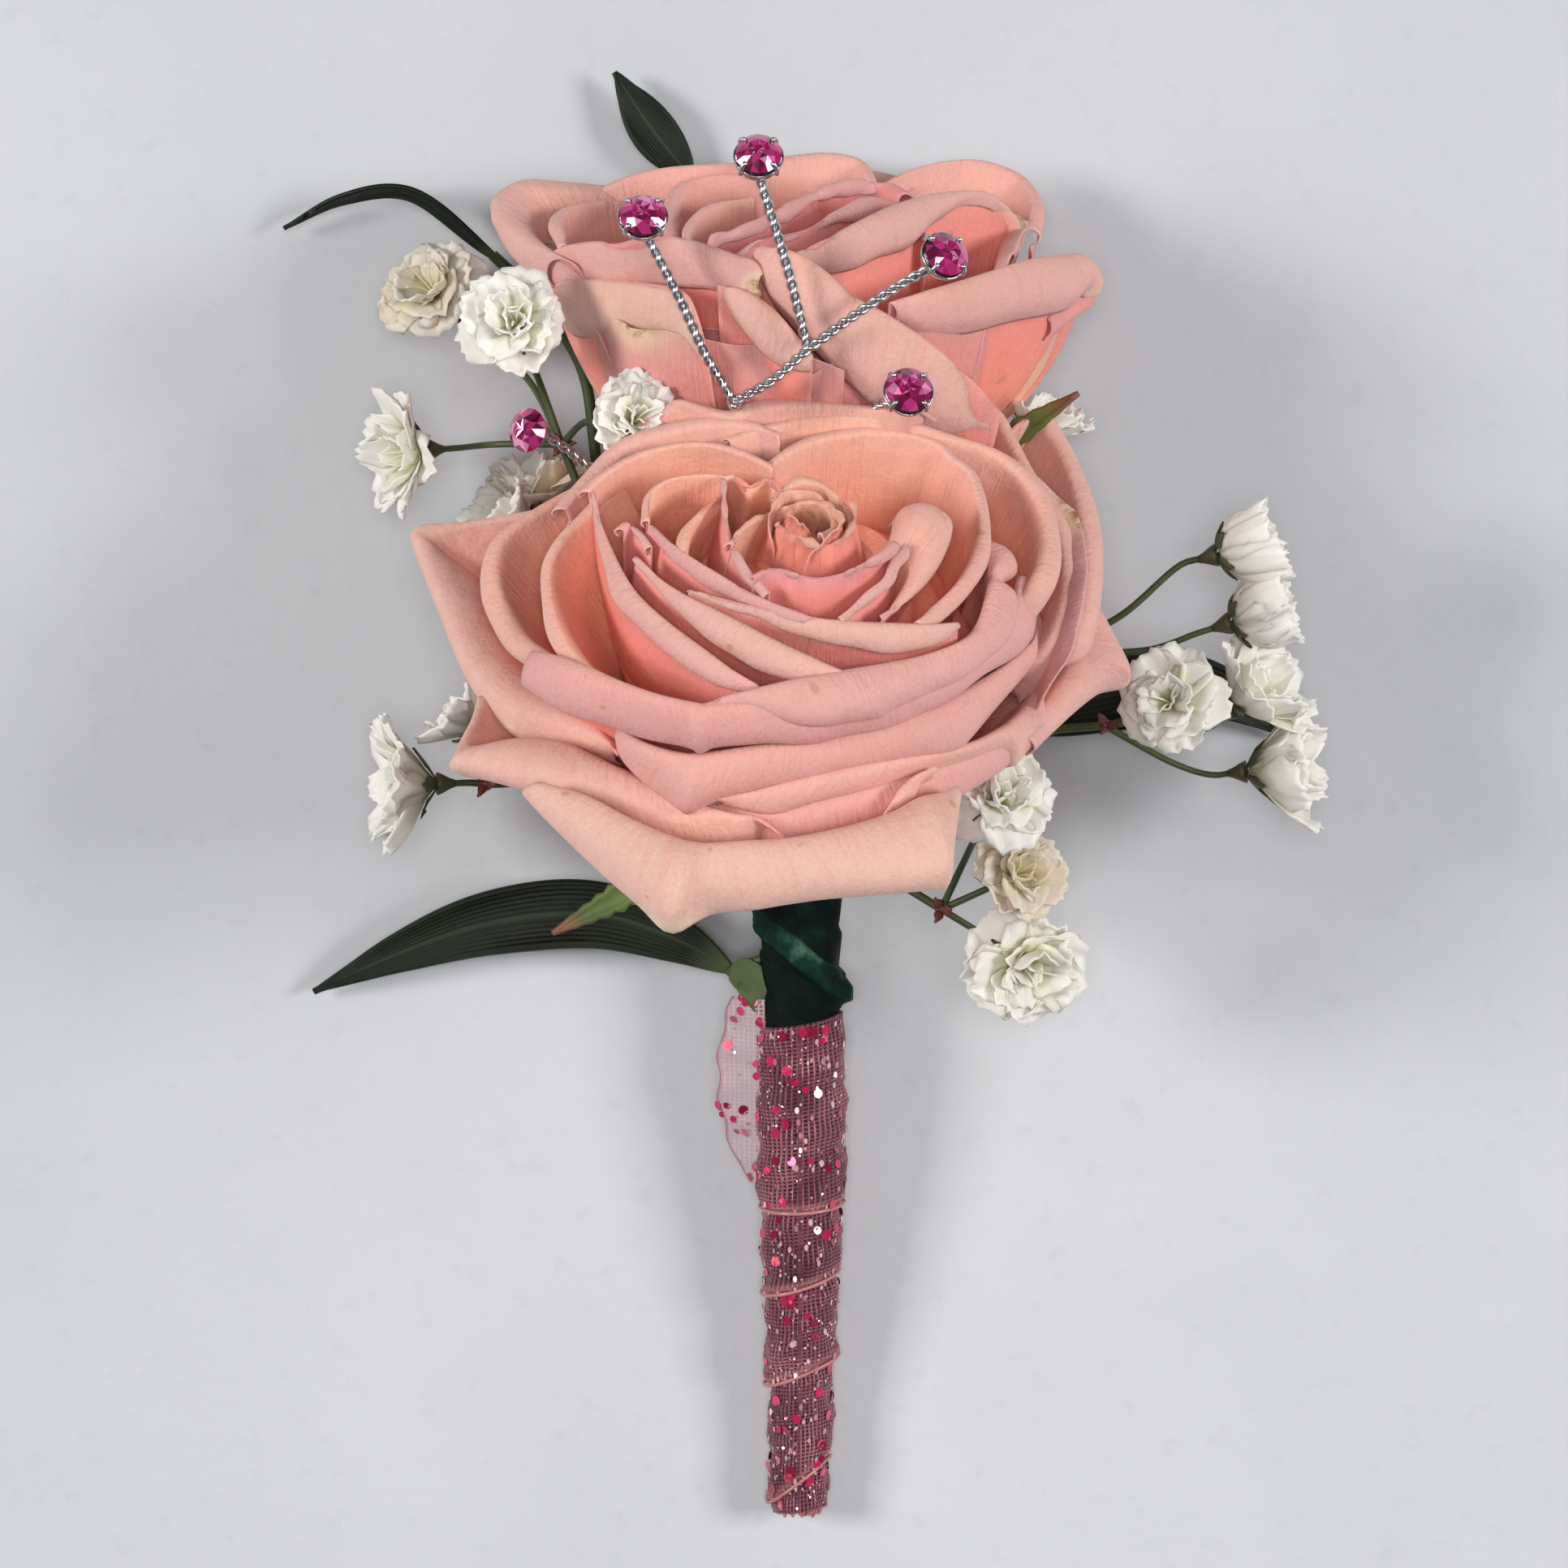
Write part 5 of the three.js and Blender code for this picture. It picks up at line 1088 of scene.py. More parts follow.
# Leaves by name: points of the stem and of the rib, width, and the twist of the blade along the rib
RUSCUS = {
    "top": {
        "stem": [*slot(208), (-0.6, 0, 2.9), (-1.2, 12, 1.6), (-1.5, 40, 1.2), (-5, 49, 1.4),
                 (-8.5, 52.6, 1.8)],
        "rib": [(-8, 52.2, 1.7), (-11.5, 56.5, 2.2), (-14.6, 61.2, 2.2)],
        "width": 3.9,
    },
    "left": {
        "stem": [*slot(236), (-3.8, 0, 3.6), (-9, 12, 2), (-15.5, 25, 2), (-17.5, 36, 2.2), (-22, 42.5, 2.8),
                 (-25, 45.4, 3.2)],
        "rib": [(-24.5, 45, 3.1), (-32, 50.6, 4.6), (-38, 50.2, 3.6), (-43, 47.8, 2.2)],
        "width": 2.1,
        "twist": (56, 76),
    },
    "right": {
        "stem": [*slot(138), (8, -4, 3.4), (15, 2, 2.2), (20, 5.5, 2.2)],
        "rib": [(19, 5, 2.2), (28.5, 7.8, 3.2), (36.5, 8.1, 3), (43.3, 4.3, 1.4)],
        "width": 6.4,
    },
    "lower": {
        "stem": [in_handle(8.5, -1.6, 0.2), in_handle(7.4, -2.8, 0.1), (-3.9, -15.8, 6.4), (-4.6, -16, 5.5)],
        "rib": [(-4.2, -16.1, 5.6), (-9, -13.4, 4.4), (-16, -11.2, 4.2), (-25, -11.9, 3.6), (-33, -14.5, 2.8),
                (-40.5, -17.9, 1.6)],
        "width": 5.8,
        "flap": [(-4.6, -15.9, 6.4), (-3, -16.4, 7.6), (-2.1, -17.8, 8.2), (-2, -19.6, 7.8)],
    },
}
FLAP_WIDTH = 2.9


def ruscus():
    material = leaf_material()
    for name, leaf in RUSCUS.items():
        pile = Pile("across", "along", "tip", "face")
        pile.tube(spaced(leaf["stem"], 60), 0.5, 10, tip=0.5)
        grid, layers = blade(leaf["rib"], leaf["width"], 70, 15, power=0.85, twist=leaf.get("twist", (0, 0)))
        wave = 0.18 * np.sin(9 * layers["along"] + 2 * layers["across"]) * layers["across"] ** 2
        grid[..., 2] = np.maximum(grid[..., 2] + wave, 0.25)
        pile.sheet(grid, 0.4, tip=0.8 * smooth((0.12 - layers["along"]) / 0.12), **layers)
        if "flap" in leaf:
            grid, layers = blade(leaf["flap"], FLAP_WIDTH, 24, 11, power=0.5)
            pile.sheet(grid, 0.35, tip=1.0, **layers)
        pile.piece(f"ruscus_leaf_{name}", material, f"ruscus_leaf_{name}")


# Baby's breath

# Sprays by name. A flower's stem leaves the trunk at its last point, or at the one that "fork" counts, and
# goes by the points of "by". Its "r" is its radius, "lean" widens or narrows its form and "tone" ages it.
SPRAYS = {
    "upper_left": {
        "trunk": [*slot(291), (-6, 2, 9.5), (-12, 14, 10.5), (-16, 22, 13), (-18.6, 28.4, 14)],
        "heads": [
            dict(at=(-21.8, 37.4, 28.4), axis=(-0.1, 0.25, 1), r=4.4, by=[(-20.2, 33, 15)]),
            dict(at=(-30, 42, 8), axis=(-0.4, 0.4, 0.8), r=4.8, tone=0.75, by=[(-21.5, 34, 10)]),
            dict(at=(-33.1, 27.8, 12), axis=(-0.85, -0.1, 0.5), r=3.7, form="half", lean=1.2,
                 by=[(-24, 28.5, 12.5)]),
            dict(at=(-11.9, 29.5, 28.8), axis=(0.25, 0.3, 1), r=3.9, by=[(-16, 29.8, 20.5)]),
            dict(at=(-24.5, 23.2, 8.5), axis=(-0.75, 0.45, 0.4), r=4.1, form="half", lean=1.2,
                 fork=3, by=[(-18, 20.5, 9)]),
            dict(at=(-21.2, 26.2, 6.6), axis=(-0.3, 0.9, 0.3), r=3.6, form="half", tone=0.85,
                 fork=3, by=[(-16.5, 19.5, 7.5)]),
        ],
    },
    "lower_left": {
        "trunk": [*slot(264), (-8, -4, 8), (-18, 0, 10.5), (-25, 0, 13)],
        "heads": [
            dict(at=(-32.9, -0.1, 14.5), axis=(-1, -0.03, 0.25), r=4.3, form="half", lean=1.05),
            dict(at=(-27.4, 6, 13.5), axis=(-0.8, 0.7, 0.1), r=2.9, form="half", fork=3, by=[(-22, 2.6, 12)]),
        ],
    },
    "upper_right": {
        "trunk": [*slot(105), (9, -2, 7), (16, 7, 10), (22, 11, 13.5)],
        "heads": [
            dict(at=(22.2, 31.2, 10.5), axis=(0.3, 0.8, 0.3), r=3.4, form="half",
                 fork=3, by=[(18, 15, 9.5), (20.5, 23, 10)]),
            dict(at=(39.4, 19.9, 19), axis=(0.96, 0.25, 0.15), r=3.5, form="shut", by=[(28, 14, 16.5)]),
            dict(at=(40.6, 14.5, 17.5), axis=(0.95, 0.3, 0.15), r=3.5, form="shut", by=[(30.5, 11.2, 15.5)]),
        ],
    },
    "lower_right": {
        "trunk": [*slot(75), (10, -3.5, 9.5), (17, 1.8, 9.5), (22.3, 4.4, 10), (27, 4.9, 11.5)],
        "heads": [
            dict(at=(31.7, 6.8, 20.5), axis=(-0.2, 0.1, 1), r=4.6),
            dict(at=(40, 8.5, 15.6), axis=(0.7, 0.6, 0.5), r=4.1, form="half", lean=0.9, by=[(31, 5.4, 12)]),
            dict(at=(42.4, 1.4, 14.4), axis=(1, 0.1, 0.35), r=4.3, form="half", lean=0.72,
                 by=[(33, 1.6, 12.5)]),
        ],
    },
    "lowest": {
        "trunk": [*slot(40), (4.6, -6, 11.2), (8, -7.4, 12.2), (13.2, -10.5, 12.8)],
        "heads": [
            dict(at=(17.6, -1, 27.2), axis=(0.3, 0.5, 1), r=4.5, by=[(15.2, -6, 15.5)]),
            dict(at=(19.4, -7.3, 19.2), axis=(0.5, 0.3, 1), r=4.1, tone=0.9),
            dict(at=(20.1, -15.2, 16.8), axis=(0.35, -0.3, 1), r=5.4),
        ],
    },
}

# Forms of a floret. "base" is its middle's height over its foot in radii. Its petals leave the foot at the
# angle "foot" and reach their lean at the share "turn" of their length. A ring of petals has a count, a
# lean, and a length and width in radii.
FORMS = {
    "open": dict(base=0.45, foot=12, turn=0.62, loose=1.0,
                 rings=[(5, 92, 1.22, 1.3), (5, 66, 1.2, 1.15), (4, 42, 1.08, 0.9), (3, 22, 0.8, 0.6)]),
    "half": dict(base=0.85, foot=58, turn=0.7, loose=0.8,
                 rings=[(5, 50, 1.75, 1.3), (5, 38, 1.7, 1.1), (4, 24, 1.5, 0.85), (3, 12, 1.1, 0.6)]),
    "shut": dict(base=1.0, foot=80, turn=0.85, loose=0.3,
                 rings=[(5, 6, 2.0, 1.4), (5, 2, 1.95, 1.15), (4, -2, 1.85, 0.8), (3, 5, 1.5, 0.6)]),
}

# The cup under a floret and the knot where its stem leaves the trunk, as (radius, height)
GYP_CUP = [(0.05, -1.7), (0.28, -1.7), (0.45, -1.2), (0.8, -0.5), (0.95, -0.1), (0.05, 0)]
GYP_KNOT = [(0.05, -0.6), (0.5, -0.4), (0.62, 0), (0.5, 0.4), (0.05, 0.6)]
FLORET_THICKNESS = 0.14


def form_of(head):
    return FORMS[head.get("form", "open")]


def under_head(head, down):
    """The point of a floret's axis that lies "down" millimetres under its foot."""
    foot = form_of(head)["base"] * head["r"]
    return np.array(head["at"], float) - unit(np.array(head["axis"], float)) * (foot + down)


def floret_petal(length, width, lean, azimuth, rng, rows, cols, foot, turn, loose=1.0, taper=0.2):
    """Grid of a small ruffled petal with a rounded, scalloped rim, on a narrow foot."""
    s, u = np.linspace(0, 1, rows)[None], np.linspace(-1, 1, cols)[:, None]
    leaned = lean + loose * rng.uniform(-14, 14)
    angle = np.radians(foot + (leaned - foot) * smooth(s / turn)) + loose * rng.uniform(-0.5, 0.4) * s ** 4
    step = length * rng.uniform(0.88, 1.1) / (rows - 1)
    out = np.concatenate([[[0]], np.cumsum(np.sin(angle[:, 1:]) * step, 1)], 1)
    up = np.concatenate([[[0]], np.cumsum(np.cos(angle[:, 1:]) * step, 1)], 1)
    phase = rng.uniform(0, 2 * np.pi, 4)
    notch = (0.05 * np.exp(-(u / 0.2) ** 2) + 0.035 * np.sin(13 * u + phase[3])) * s ** 6
    left = 1 - notch - 0.3 * np.abs(u) ** 3 * s ** 2
    narrow_foot, narrow_tip = 0.14 + 0.86 * smooth(s / 0.75), 1 - taper * smooth((s - 0.6) / 0.4)
    half = width * rng.uniform(0.88, 1.1) / 2 * narrow_foot * narrow_tip
    ruffle = (0.055 * np.sin(4.2 * u + phase[0]) + 0.035 * np.sin(10 * u + phase[1]) * s
              + 0.02 * np.sin(15 * u + phase[3]) * s ** 3 + 0.045 * np.sin(6 * s + phase[2])) * s * width
    raised = ruffle + 0.5 * (half * u) ** 2 / (np.abs(out) + 0.7)
    radial = out * left - np.cos(angle) * raised
    height = up * left + np.sin(angle) * raised
    c, k = math.cos(azimuth), math.sin(azimuth)
    grid = np.stack([radial * c - half * u * k, radial * k + half * u * c, height], -1)
    return grid, {"across": u + 0 * s, "along": s + 0 * u}


def floret(pile, head, tone, rng):
    """A double flower: rings of petals, each ring more upright than the one outside it, and three styles."""
    turn, base = basis(head["axis"]), under_head(head, 0)
    form, r = form_of(head), head["r"]
    bend = {name: form[name] for name in ("foot", "turn", "loose")}
    for ring, (count, lean, length, width) in enumerate(form["rings"]):
        for k in range(count):
            azimuth = 2 * math.pi * (k + 0.5 * (ring % 2) + rng.uniform(-0.2, 0.2)) / count
            lean_out = lean * head.get("lean", 1)
            grid, layers = floret_petal(length * r, width * r, lean_out, azimuth, rng, 12, 13, **bend)
            core = smooth((0.82 - layers["along"]) / 0.6) * (0.5 + 0.16 * ring) * form["loose"]
            pile.sheet(grid @ turn.T + base, FLORET_THICKNESS, core=core, tone=tone, **layers)
    for k in range(3):
        a = 2 * math.pi * k / 3 + rng.uniform(0, 1)
        aside = np.array([math.cos(a), math.sin(a), 0]) * r
        style = [[0, 0, 0.3], [0, 0, 0.7 * r] + 0.12 * aside, [0, 0, 0.98 * r] + 0.3 * aside]
        line = spaced(np.array(style) @ turn.T + base, 12)
        pile.tube(line, np.linspace(0.12, 0.07, 12), 6, core=0.25, tone=tone)


def floret_sepals(pile, head, rng):
    """Five short sepals that hold the outer petals' feet."""
    form, turn = form_of(head), basis(head["axis"])
    _, lean, petal_length, _ = form["rings"][0]
    length = 0.7 * head["r"] + 0.5
    turn_share = form["turn"] * petal_length * head["r"] / length
    bend = dict(foot=form["foot"], turn=turn_share, loose=0.3, taper=0.9)
    for k in range(5):
        a = 2 * math.pi * k / 5
        sepal, layers = floret_petal(length, 1.5, lean * head.get("lean", 1), a, rng, 8, 5, **bend)
        sepal = sepal + np.array([0.3 * math.cos(a), 0.3 * math.sin(a), 0])
        pile.sheet(sepal @ turn.T + under_head(head, 0.3), FLORET_THICKNESS, tip=0.5 * layers["along"] ** 3)


def gyp_stems(pile, spray, rng):
    """A spray's trunk, the stem, cup and sepals of each floret, and a scaly knot at each fork."""
    pile.tube(spaced(spray["trunk"], 46), np.linspace(0.45, 0.36, 46))
    forks = [spray["trunk"][head.get("fork", -1)] for head in spray["heads"]]
    for fork, head in zip(forks, spray["heads"]):
        line = spaced([fork, *head.get("by", ()), under_head(head, 3.2), under_head(head, 1.5)], 26)
        pile.tube(line, np.linspace(0.32, 0.27, 26))
        pile.lathe(GYP_CUP, 15, under_head(head, 0.2), head["axis"], lobes=5, depth=0.08, tip=0.15)
        floret_sepals(pile, head, rng)
    for fork in set(forks):
        pile.lathe(GYP_KNOT, 8, fork, (0, 0.5, 1), tip=0.9)
        for k in range(3):
            scale, _ = floret_petal(1.9, 0.9, 45, 2.1 * k, rng, 6, 5, foot=5, turn=0.62, taper=0.9)
            pile.sheet(scale + np.array(fork), 0.16, tip=1.0)


def babys_breath():
    white = floret_material()
    green = green_material("gyp_stem", "#2C3A1E", "#4F5B33", "#6B3B33", 0.5)
    for order, (name, spray) in enumerate(SPRAYS.items()):
        rng = np.random.default_rng(40 + order)
        stems = Pile("tip", "face")
        gyp_stems(stems, spray, rng)
        stems.piece(f"gyp_{name}_stems", green, f"gyp_{name}_stems")
        for k, head in enumerate(spray["heads"], 1):
            pile = Pile("across", "along", "core", "tone", "face")
            floret(pile, head, head.get("tone", rng.uniform(0, 0.2)), rng)
            pile.piece(f"gyp_{name}_flower_{k}", white, f"gyp_{name}_flower_{k}")


# Jewel pick

STONE_RADIUS = 1.84
CUP_DEPTH = 2.3
BARE_CUP_SCALE = 0.76
STONES = [
    dict(at=(-11.1, 44.7, 37.5), axis=(0, 0.45, 1)),
    dict(at=(-2, 49.5, 37.5), axis=(0.05, 0.5, 1)),
    dict(at=(12.7, 41.6, 38), axis=(0.45, 0.35, 1)),
    dict(at=(9.8, 30.9, 37.8), axis=(0.1, 0.3, 1)),
    dict(at=(-20.9, 29, 21.5), axis=(-0.55, 0.05, 0.85), bare=True),
]

# A stone's cup and one of its prongs, as (radius, height)
CUP = [(0.05, -CUP_DEPTH), (0.6, -2.28), (1.0, -2.1), (1.6, -1.2), (1.94, -0.5), (2.0, -0.1), (1.9, -0.05),
       (1.8, -0.4), (0.3, -1.82), (0.05, -1.82)]
PRONG = [(1.98, -0.5), (1.93, 0.2), (1.5, 0.62)]

# Places where wires meet on their way down to the handle, and the pick that all of them join
MEET = (1.9, 34.4, 35.5)
LOW_MEET = (-4, 30.4, 33.5)
BETWEEN = (-3, 23.2, 19.6)
BEHIND = (-3, 17, 13.6)
PICK = [LOW_MEET, (-3.8, 30.2, 29.4), BETWEEN, BEHIND, (-3.6, 6, 11), (-3, -3, 10.3), *reversed(slot(320))]


def under_stone(stone):
    """Where a wire leaves the bottom of a stone's cup."""
    return np.array(stone["at"], float) + unit(np.array(stone["axis"], float)) * (0.2 - CUP_DEPTH)


WIRES = [
    [under_stone(STONES[0]), (-8.3, 38.5, 35.2), (-6.2, 34, 34.6), LOW_MEET],
    [under_stone(STONES[1]), (0.2, 41, 36.4), MEET],
    [under_stone(STONES[2]), (8.5, 39, 36.4), MEET, (-1, 32, 34.6), LOW_MEET],
    [under_stone(STONES[3]), (8.2, 30.5, 32.5), (3.5, 28.5, 26), BETWEEN],
    [under_stone(STONES[4]), (-16.5, 26.5, 19), (-10, 20, 15.5), BEHIND],
]


def twisted(pile, points, radius=0.21, pitch=1.9):
    """Two strands wound round each other along a line."""
    length = travelled(spaced(points, 60))[-1]
    line = spaced(points, int(length / pitch * 12) + 2)
    _, across, up = frames(line)
    turn = np.linspace(0, 2 * np.pi * length / pitch, len(line))
    for start in (0, np.pi):
        out = np.cos(turn + start)[:, None] * across + np.sin(turn + start)[:, None] * up
        pile.tube(line + out * radius, radius * 1.12)


def brilliant(pile, stone, rng):
    """A round stone cut in facets, each facet with its own points so that it has one tone, its painted
    reflection.
    """

    def ring(radius, height, count, start=0):
        angle = circle(count) + start
        return np.stack([radius * np.cos(angle), radius * np.sin(angle), height + 0 * angle], -1)

    crown, table, star = ring(0.414, 0.9, 8), ring(0.92, 0.95, 8), ring(1.34, 0.66, 8, math.pi / 8)
    girdle = ring(STONE_RADIUS, 0.26, 16)
    foot, middle = np.array([0, 0, -1.3]), np.array([0, 0, 0.86])
    facets = []
    for k in range(8):
        n = (k + 1) % 8
        first, half, last = girdle[2 * k], girdle[2 * k + 1], girdle[2 * n]
        inner = (table[k] + table[n]) / 2 * 0.52 + np.array([0, 0, 0.43])
        facets += [[middle, crown[k], inner], [middle, inner, crown[n]],
                   [crown[k], table[k], inner], [inner, table[n], crown[n]],
                   [inner, table[k], table[n]], [table[k], star[k], table[n]],
                   [table[k], star[k - 1], first, star[k]],
                   [star[k], first, half], [star[k], half, last],
                   [foot, half, first], [foot, last, half]]
    turn = basis(stone["axis"])
    for facet in facets:
        points = np.array(facet) @ turn.T + np.array(stone["at"], float)
        # Each facet's random tone paints its reflection, from dark magenta to pale pink.
        pile.add(points, [list(range(len(points)))], tone=rng.beta(0.8, 1.1))


def stone_cup(pile, stone):
    """The cup of a stone with four prongs, or, for the bare one, a smaller cup without any."""
    bare = stone.get("bare", False)
    profile = [(r * (BARE_CUP_SCALE if bare else 1), h) for r, h in CUP]
    pile.lathe(profile, 28, stone["at"], stone["axis"], lobes=4, depth=0.012)
    turn = basis(stone["axis"])
    for k in range(0 if bare else 4):
        a = math.pi * (0.25 + 0.5 * k)
        prong = np.array([(r * math.cos(a), r * math.sin(a), h) for r, h in PRONG])
        pile.tube(spaced(prong @ turn.T + np.array(stone["at"], float), 7), 0.2, 7)


def jewels():
    rng = np.random.default_rng(7)
    metal = Pile("face")
    for stone in STONES:
        stone_cup(metal, stone)
    for points in WIRES:
        twisted(metal, points)
    twisted(metal, PICK, 0.3, 2.4)
    metal.piece("jewel_wires", wire_material(), "jewel_wires")
    glass = stone_material()
    for k, stone in enumerate(STONES, 1):
        pile = Pile("tone", "face")
        brilliant(pile, stone, rng)
        pile.piece(f"jewel_stone_{k}", glass, f"jewel_stone_{k}", flat=True)


# Tape and ribbon, by distances from the handle's top and angles round it

# The tape's radius by distance, the radius that its slanted rounds are worked out for, how far they
# slant, and (first, last) of the raised strip
TAPE_WIDE = [(0, 3.7), (4.6, 3.25), (9.4, 3.2), (12.5, 3.0), (TAPE_SHOWN, 2.85)]
TAPE_MEAN_RADIUS = 3.3
TAPE_SLANT = 0.93
TAPE_STRIP = (5.2, 8.2)

# The bulge on the tape: distance and angle, and its reach in both
TAPE_BULGE = (10.4, 1.45)
TAPE_BULGE_REACH = (1.2, 0.5)


def wound(distance, angle, radius, slant):
    """Points on a winding round the handle, slanted across it."""
    right, high = radius * np.sin(angle), radius * np.cos(angle)
    return in_handle(np.clip(distance - slant * right, 0, handle_length), right, high)


def step_profile(distance, starts, height):
    """Relief of overlapping rounds: each rises at its start and sinks until the next."""
    relief = 0 * distance
    for first, after in zip(starts, [*starts[1:], starts[-1] + 8]):
        share = (distance - first) / (after - first)
        relief = relief + np.where((share >= 0) & (share < 1), height * (1 - share) * smooth(share * 9), 0)
    return relief


def floral_tape():
    """The tape, whose first ring is drawn in to cover its top."""
    pile = Pile("across", "along", "tip", "face")
    d = np.concatenate([[0], np.linspace(0, TAPE_SHOWN, 110)])[:, None]
    angle = circle(96)[None]
    winding = d - TAPE_SLANT * TAPE_MEAN_RADIUS * np.sin(angle)
    steps = step_profile(winding, [-6.5, -2.4, 1.4], 0.32) + step_profile(winding, [9.4, 12.6], 0.24)
    strip = smooth((winding - TAPE_STRIP[0]) / 0.4) * smooth((TAPE_STRIP[1] - winding) / 0.4)
    lumps = 0.09 * np.cos(3 * angle + 0.5 * d) + 0.06 * np.cos(7 * angle - 0.8 * d)
    wrinkles = 0.1 * np.sin(4.3 * winding + 2 * np.sin(3 * angle)) + 0.07 * np.sin(11 * angle + 2 * d)
    aside = np.angle(np.exp(1j * (angle - TAPE_BULGE[1])))
    bulge = np.exp(-((d - TAPE_BULGE[0]) / TAPE_BULGE_REACH[0]) ** 2 - (aside / TAPE_BULGE_REACH[1]) ** 2)
    radius = np.interp(d, *np.array(TAPE_WIDE).T) + steps + 0.55 * strip + lumps + strip * wrinkles + bulge
    rings = wound(d, angle, radius, 0)
    rings[0] = rings[0] * 0.35 + in_handle(0.8, 0, 0) * 0.65
    # The layer "tip" marks the raised strip and bulge, which the tape's material paints lighter as their
    # highlight.
    pile.rings(rings, across=angle * 3.6, along=winding, tip=np.maximum(strip, 0.8 * bulge))
    pile.piece("floral_tape", tape_material(), "floral_tape")


# Edges of the ribbon's rounds: place on top of the handle, and slant there, over the mean radius
RIBBON_ROUNDS = [(RIBBON_START, 0.16), (28.6, 0.04), (35.3, 0.32), (43.1, 0.44), (52.6, 0.7)]
RIBBON_MEAN_RADIUS = 3.0
RIBBON_WIDE = [(RIBBON_START, 3.6), (22, 3.55), (29, 3.25), (36.5, 2.95), (45, 2.6), (RIBBON_END, 2.15)]

# The fold on top of one round: place and slant
RIBBON_FOLD = (39.2, 1.3)

# The loose tail: where it starts, its length, widest width, the length of its ungathered net, and how
# many sequins and flakes of glitter lie on it
TAIL_START = 10.6
TAIL_LENGTH = 16.4
TAIL_WIDTH = 4.1
TAIL_NET = 15.5
TAIL_SEQUINS = 26
TAIL_FLAKES = 34

# Radii of sequins and glitter
SEQUIN = 0.42
TAIL_SEQUIN = 0.4
GLITTER = 0.11
TAIL_GLITTER = 0.13
LONG_GLITTER = 0.17


def ribbon_edges(angle):
    """Where the edges of the rounds lie at angles round the handle, and the end of the last round."""
    aside = RIBBON_MEAN_RADIUS * np.sin(angle)
    edges = [start - (slant - RIBBON_SLANT) * aside for start, slant in RIBBON_ROUNDS]
    return [*edges, edges[-1] + 9]


def ribbon_radius(d, angle):
    """The sleeve's radius: each round thickens towards the edge that lies on the next one."""
    relief = 0 * (d + angle)
    edges = ribbon_edges(angle)
    for first, after in zip(edges, edges[1:]):
        share = (d - first) / (after - first)
        inside = (share >= 0) & (share < 1)
        relief = relief + np.where(inside, 0.42 * (0.15 + 0.85 * share) * smooth((after - d) / 0.35), 0)
    place, slant = RIBBON_FOLD
    beside = d - place + slant * RIBBON_MEAN_RADIUS * np.sin(angle)
    fold = 0.3 * np.exp(-(beside / 0.55) ** 2) * np.clip(np.cos(angle), 0, 1)
    waves = 0.12 * np.sin(1.15 * d + 2 * angle) + 0.08 * np.sin(2.3 * d - angle + 1)
    return np.interp(d, *np.array(RIBBON_WIDE).T) + relief + fold + waves


def near_edge(d, angle):
    """How much of a place on the ribbon belongs to the plain hem of a round's edge."""
    hems = [smooth((1.0 - (edge - d)) / 0.5) * (d < edge) for edge in ribbon_edges(angle)[1:]]
    return np.max(hems, 0)


def flakes(pile, places, normals, radius, sides, lift, rng, longer=1.0):
    """Small flat discs that lie a little askew on a surface, longer along the handle than across it."""
    angle = circle(sides)
    for place, normal in zip(places, normals):
        turn = basis(unit(normal + rng.normal(0, 0.16, 3)))
        size = radius * rng.uniform(0.7, 1.2)
        ring = np.stack([size * np.cos(angle), size * longer * np.sin(angle), 0 * angle], -1)
        pile.add(ring @ turn.T + place + normal * lift, [list(range(sides))], tone=rng.uniform(0, 1))


def on_ribbon(count, rng):
    """Random places on the ribbon and the outward normals there, without those next to the surface."""
    d = rng.uniform(RIBBON_START + 0.3, RIBBON_END - 0.4, count)
    angle = rng.uniform(0, 2 * np.pi, count)
    place = wound(d, angle, ribbon_radius(d, angle), RIBBON_SLANT)
    outward = place - in_handle(d, 0, 0)
    forward = handle_forward.mean(0)
    normal = unit(outward - forward * (outward @ forward)[:, None])
    clear = place[:, 2] > 0.5
    return place[clear], normal[clear]


def ribbon_tail():
    """The loose tail: a gathered net panel that stands out to the left of the first rounds."""
    t, u = np.linspace(0, 1, 60)[:, None], np.linspace(0, 1, 22)[None]
    gathers = 1 + 0.05 * np.sin(26 * t)
    width = TAIL_WIDTH * np.sin(np.pi * np.clip(0.16 + 0.8 * t, 0, 1)) ** 0.55 * gathers
    high = 1.5 - 1.9 * u - 0.6 * t + 0.4 * np.sin(9 * t + 4 * u) * u + 0.25 * np.sin(31 * t) * u
    grid = in_handle(TAIL_START + TAIL_LENGTH * t, -3.0 - width * u, high)
    pile = Pile("across", "along", "tip", "face")
    pile.sheet(grid, 0.12, across=width * u, along=TAIL_NET * t, tip=smooth((u - 0.9) / 0.1))
    pile.piece("ribbon_tail", tulle_material(), "glitter_ribbon")
    return grid


def on_tail(grid, count, rng):
    """Random places on the tail and the normals there that point up."""
    picks = rng.integers(0, grid[..., 0].size, count)
    normal = grid_normals(grid).reshape(-1, 3)[picks]
    return grid.reshape(-1, 3)[picks], normal * np.sign(normal[:, 2:])


def ribbon_sleeve(pile):
    """The sleeve of all rounds. Its first two rings turn in at the mouth."""
    d = np.concatenate([[RIBBON_START] * 2, np.linspace(RIBBON_START, RIBBON_END, 300)])[:, None]
    angle = circle(72)[None]
    creases = 0.05 * np.sin(6 * angle + 0.9 * d) + 0.035 * np.sin(11 * angle - 1.7 * d)
    radius = ribbon_radius(d, angle) + creases
    radius[:2] *= [[0.8], [0.86]]
    inwards = np.zeros(d.shape)
    inwards[0] = 1.5
    rings = wound(d + inwards, angle, radius, RIBBON_SLANT)
    rings[..., 2] = np.maximum(rings[..., 2], LOWEST)
    pile.rings(rings, across=angle * 3.2, along=d, tip=0.5 * near_edge(d, angle))


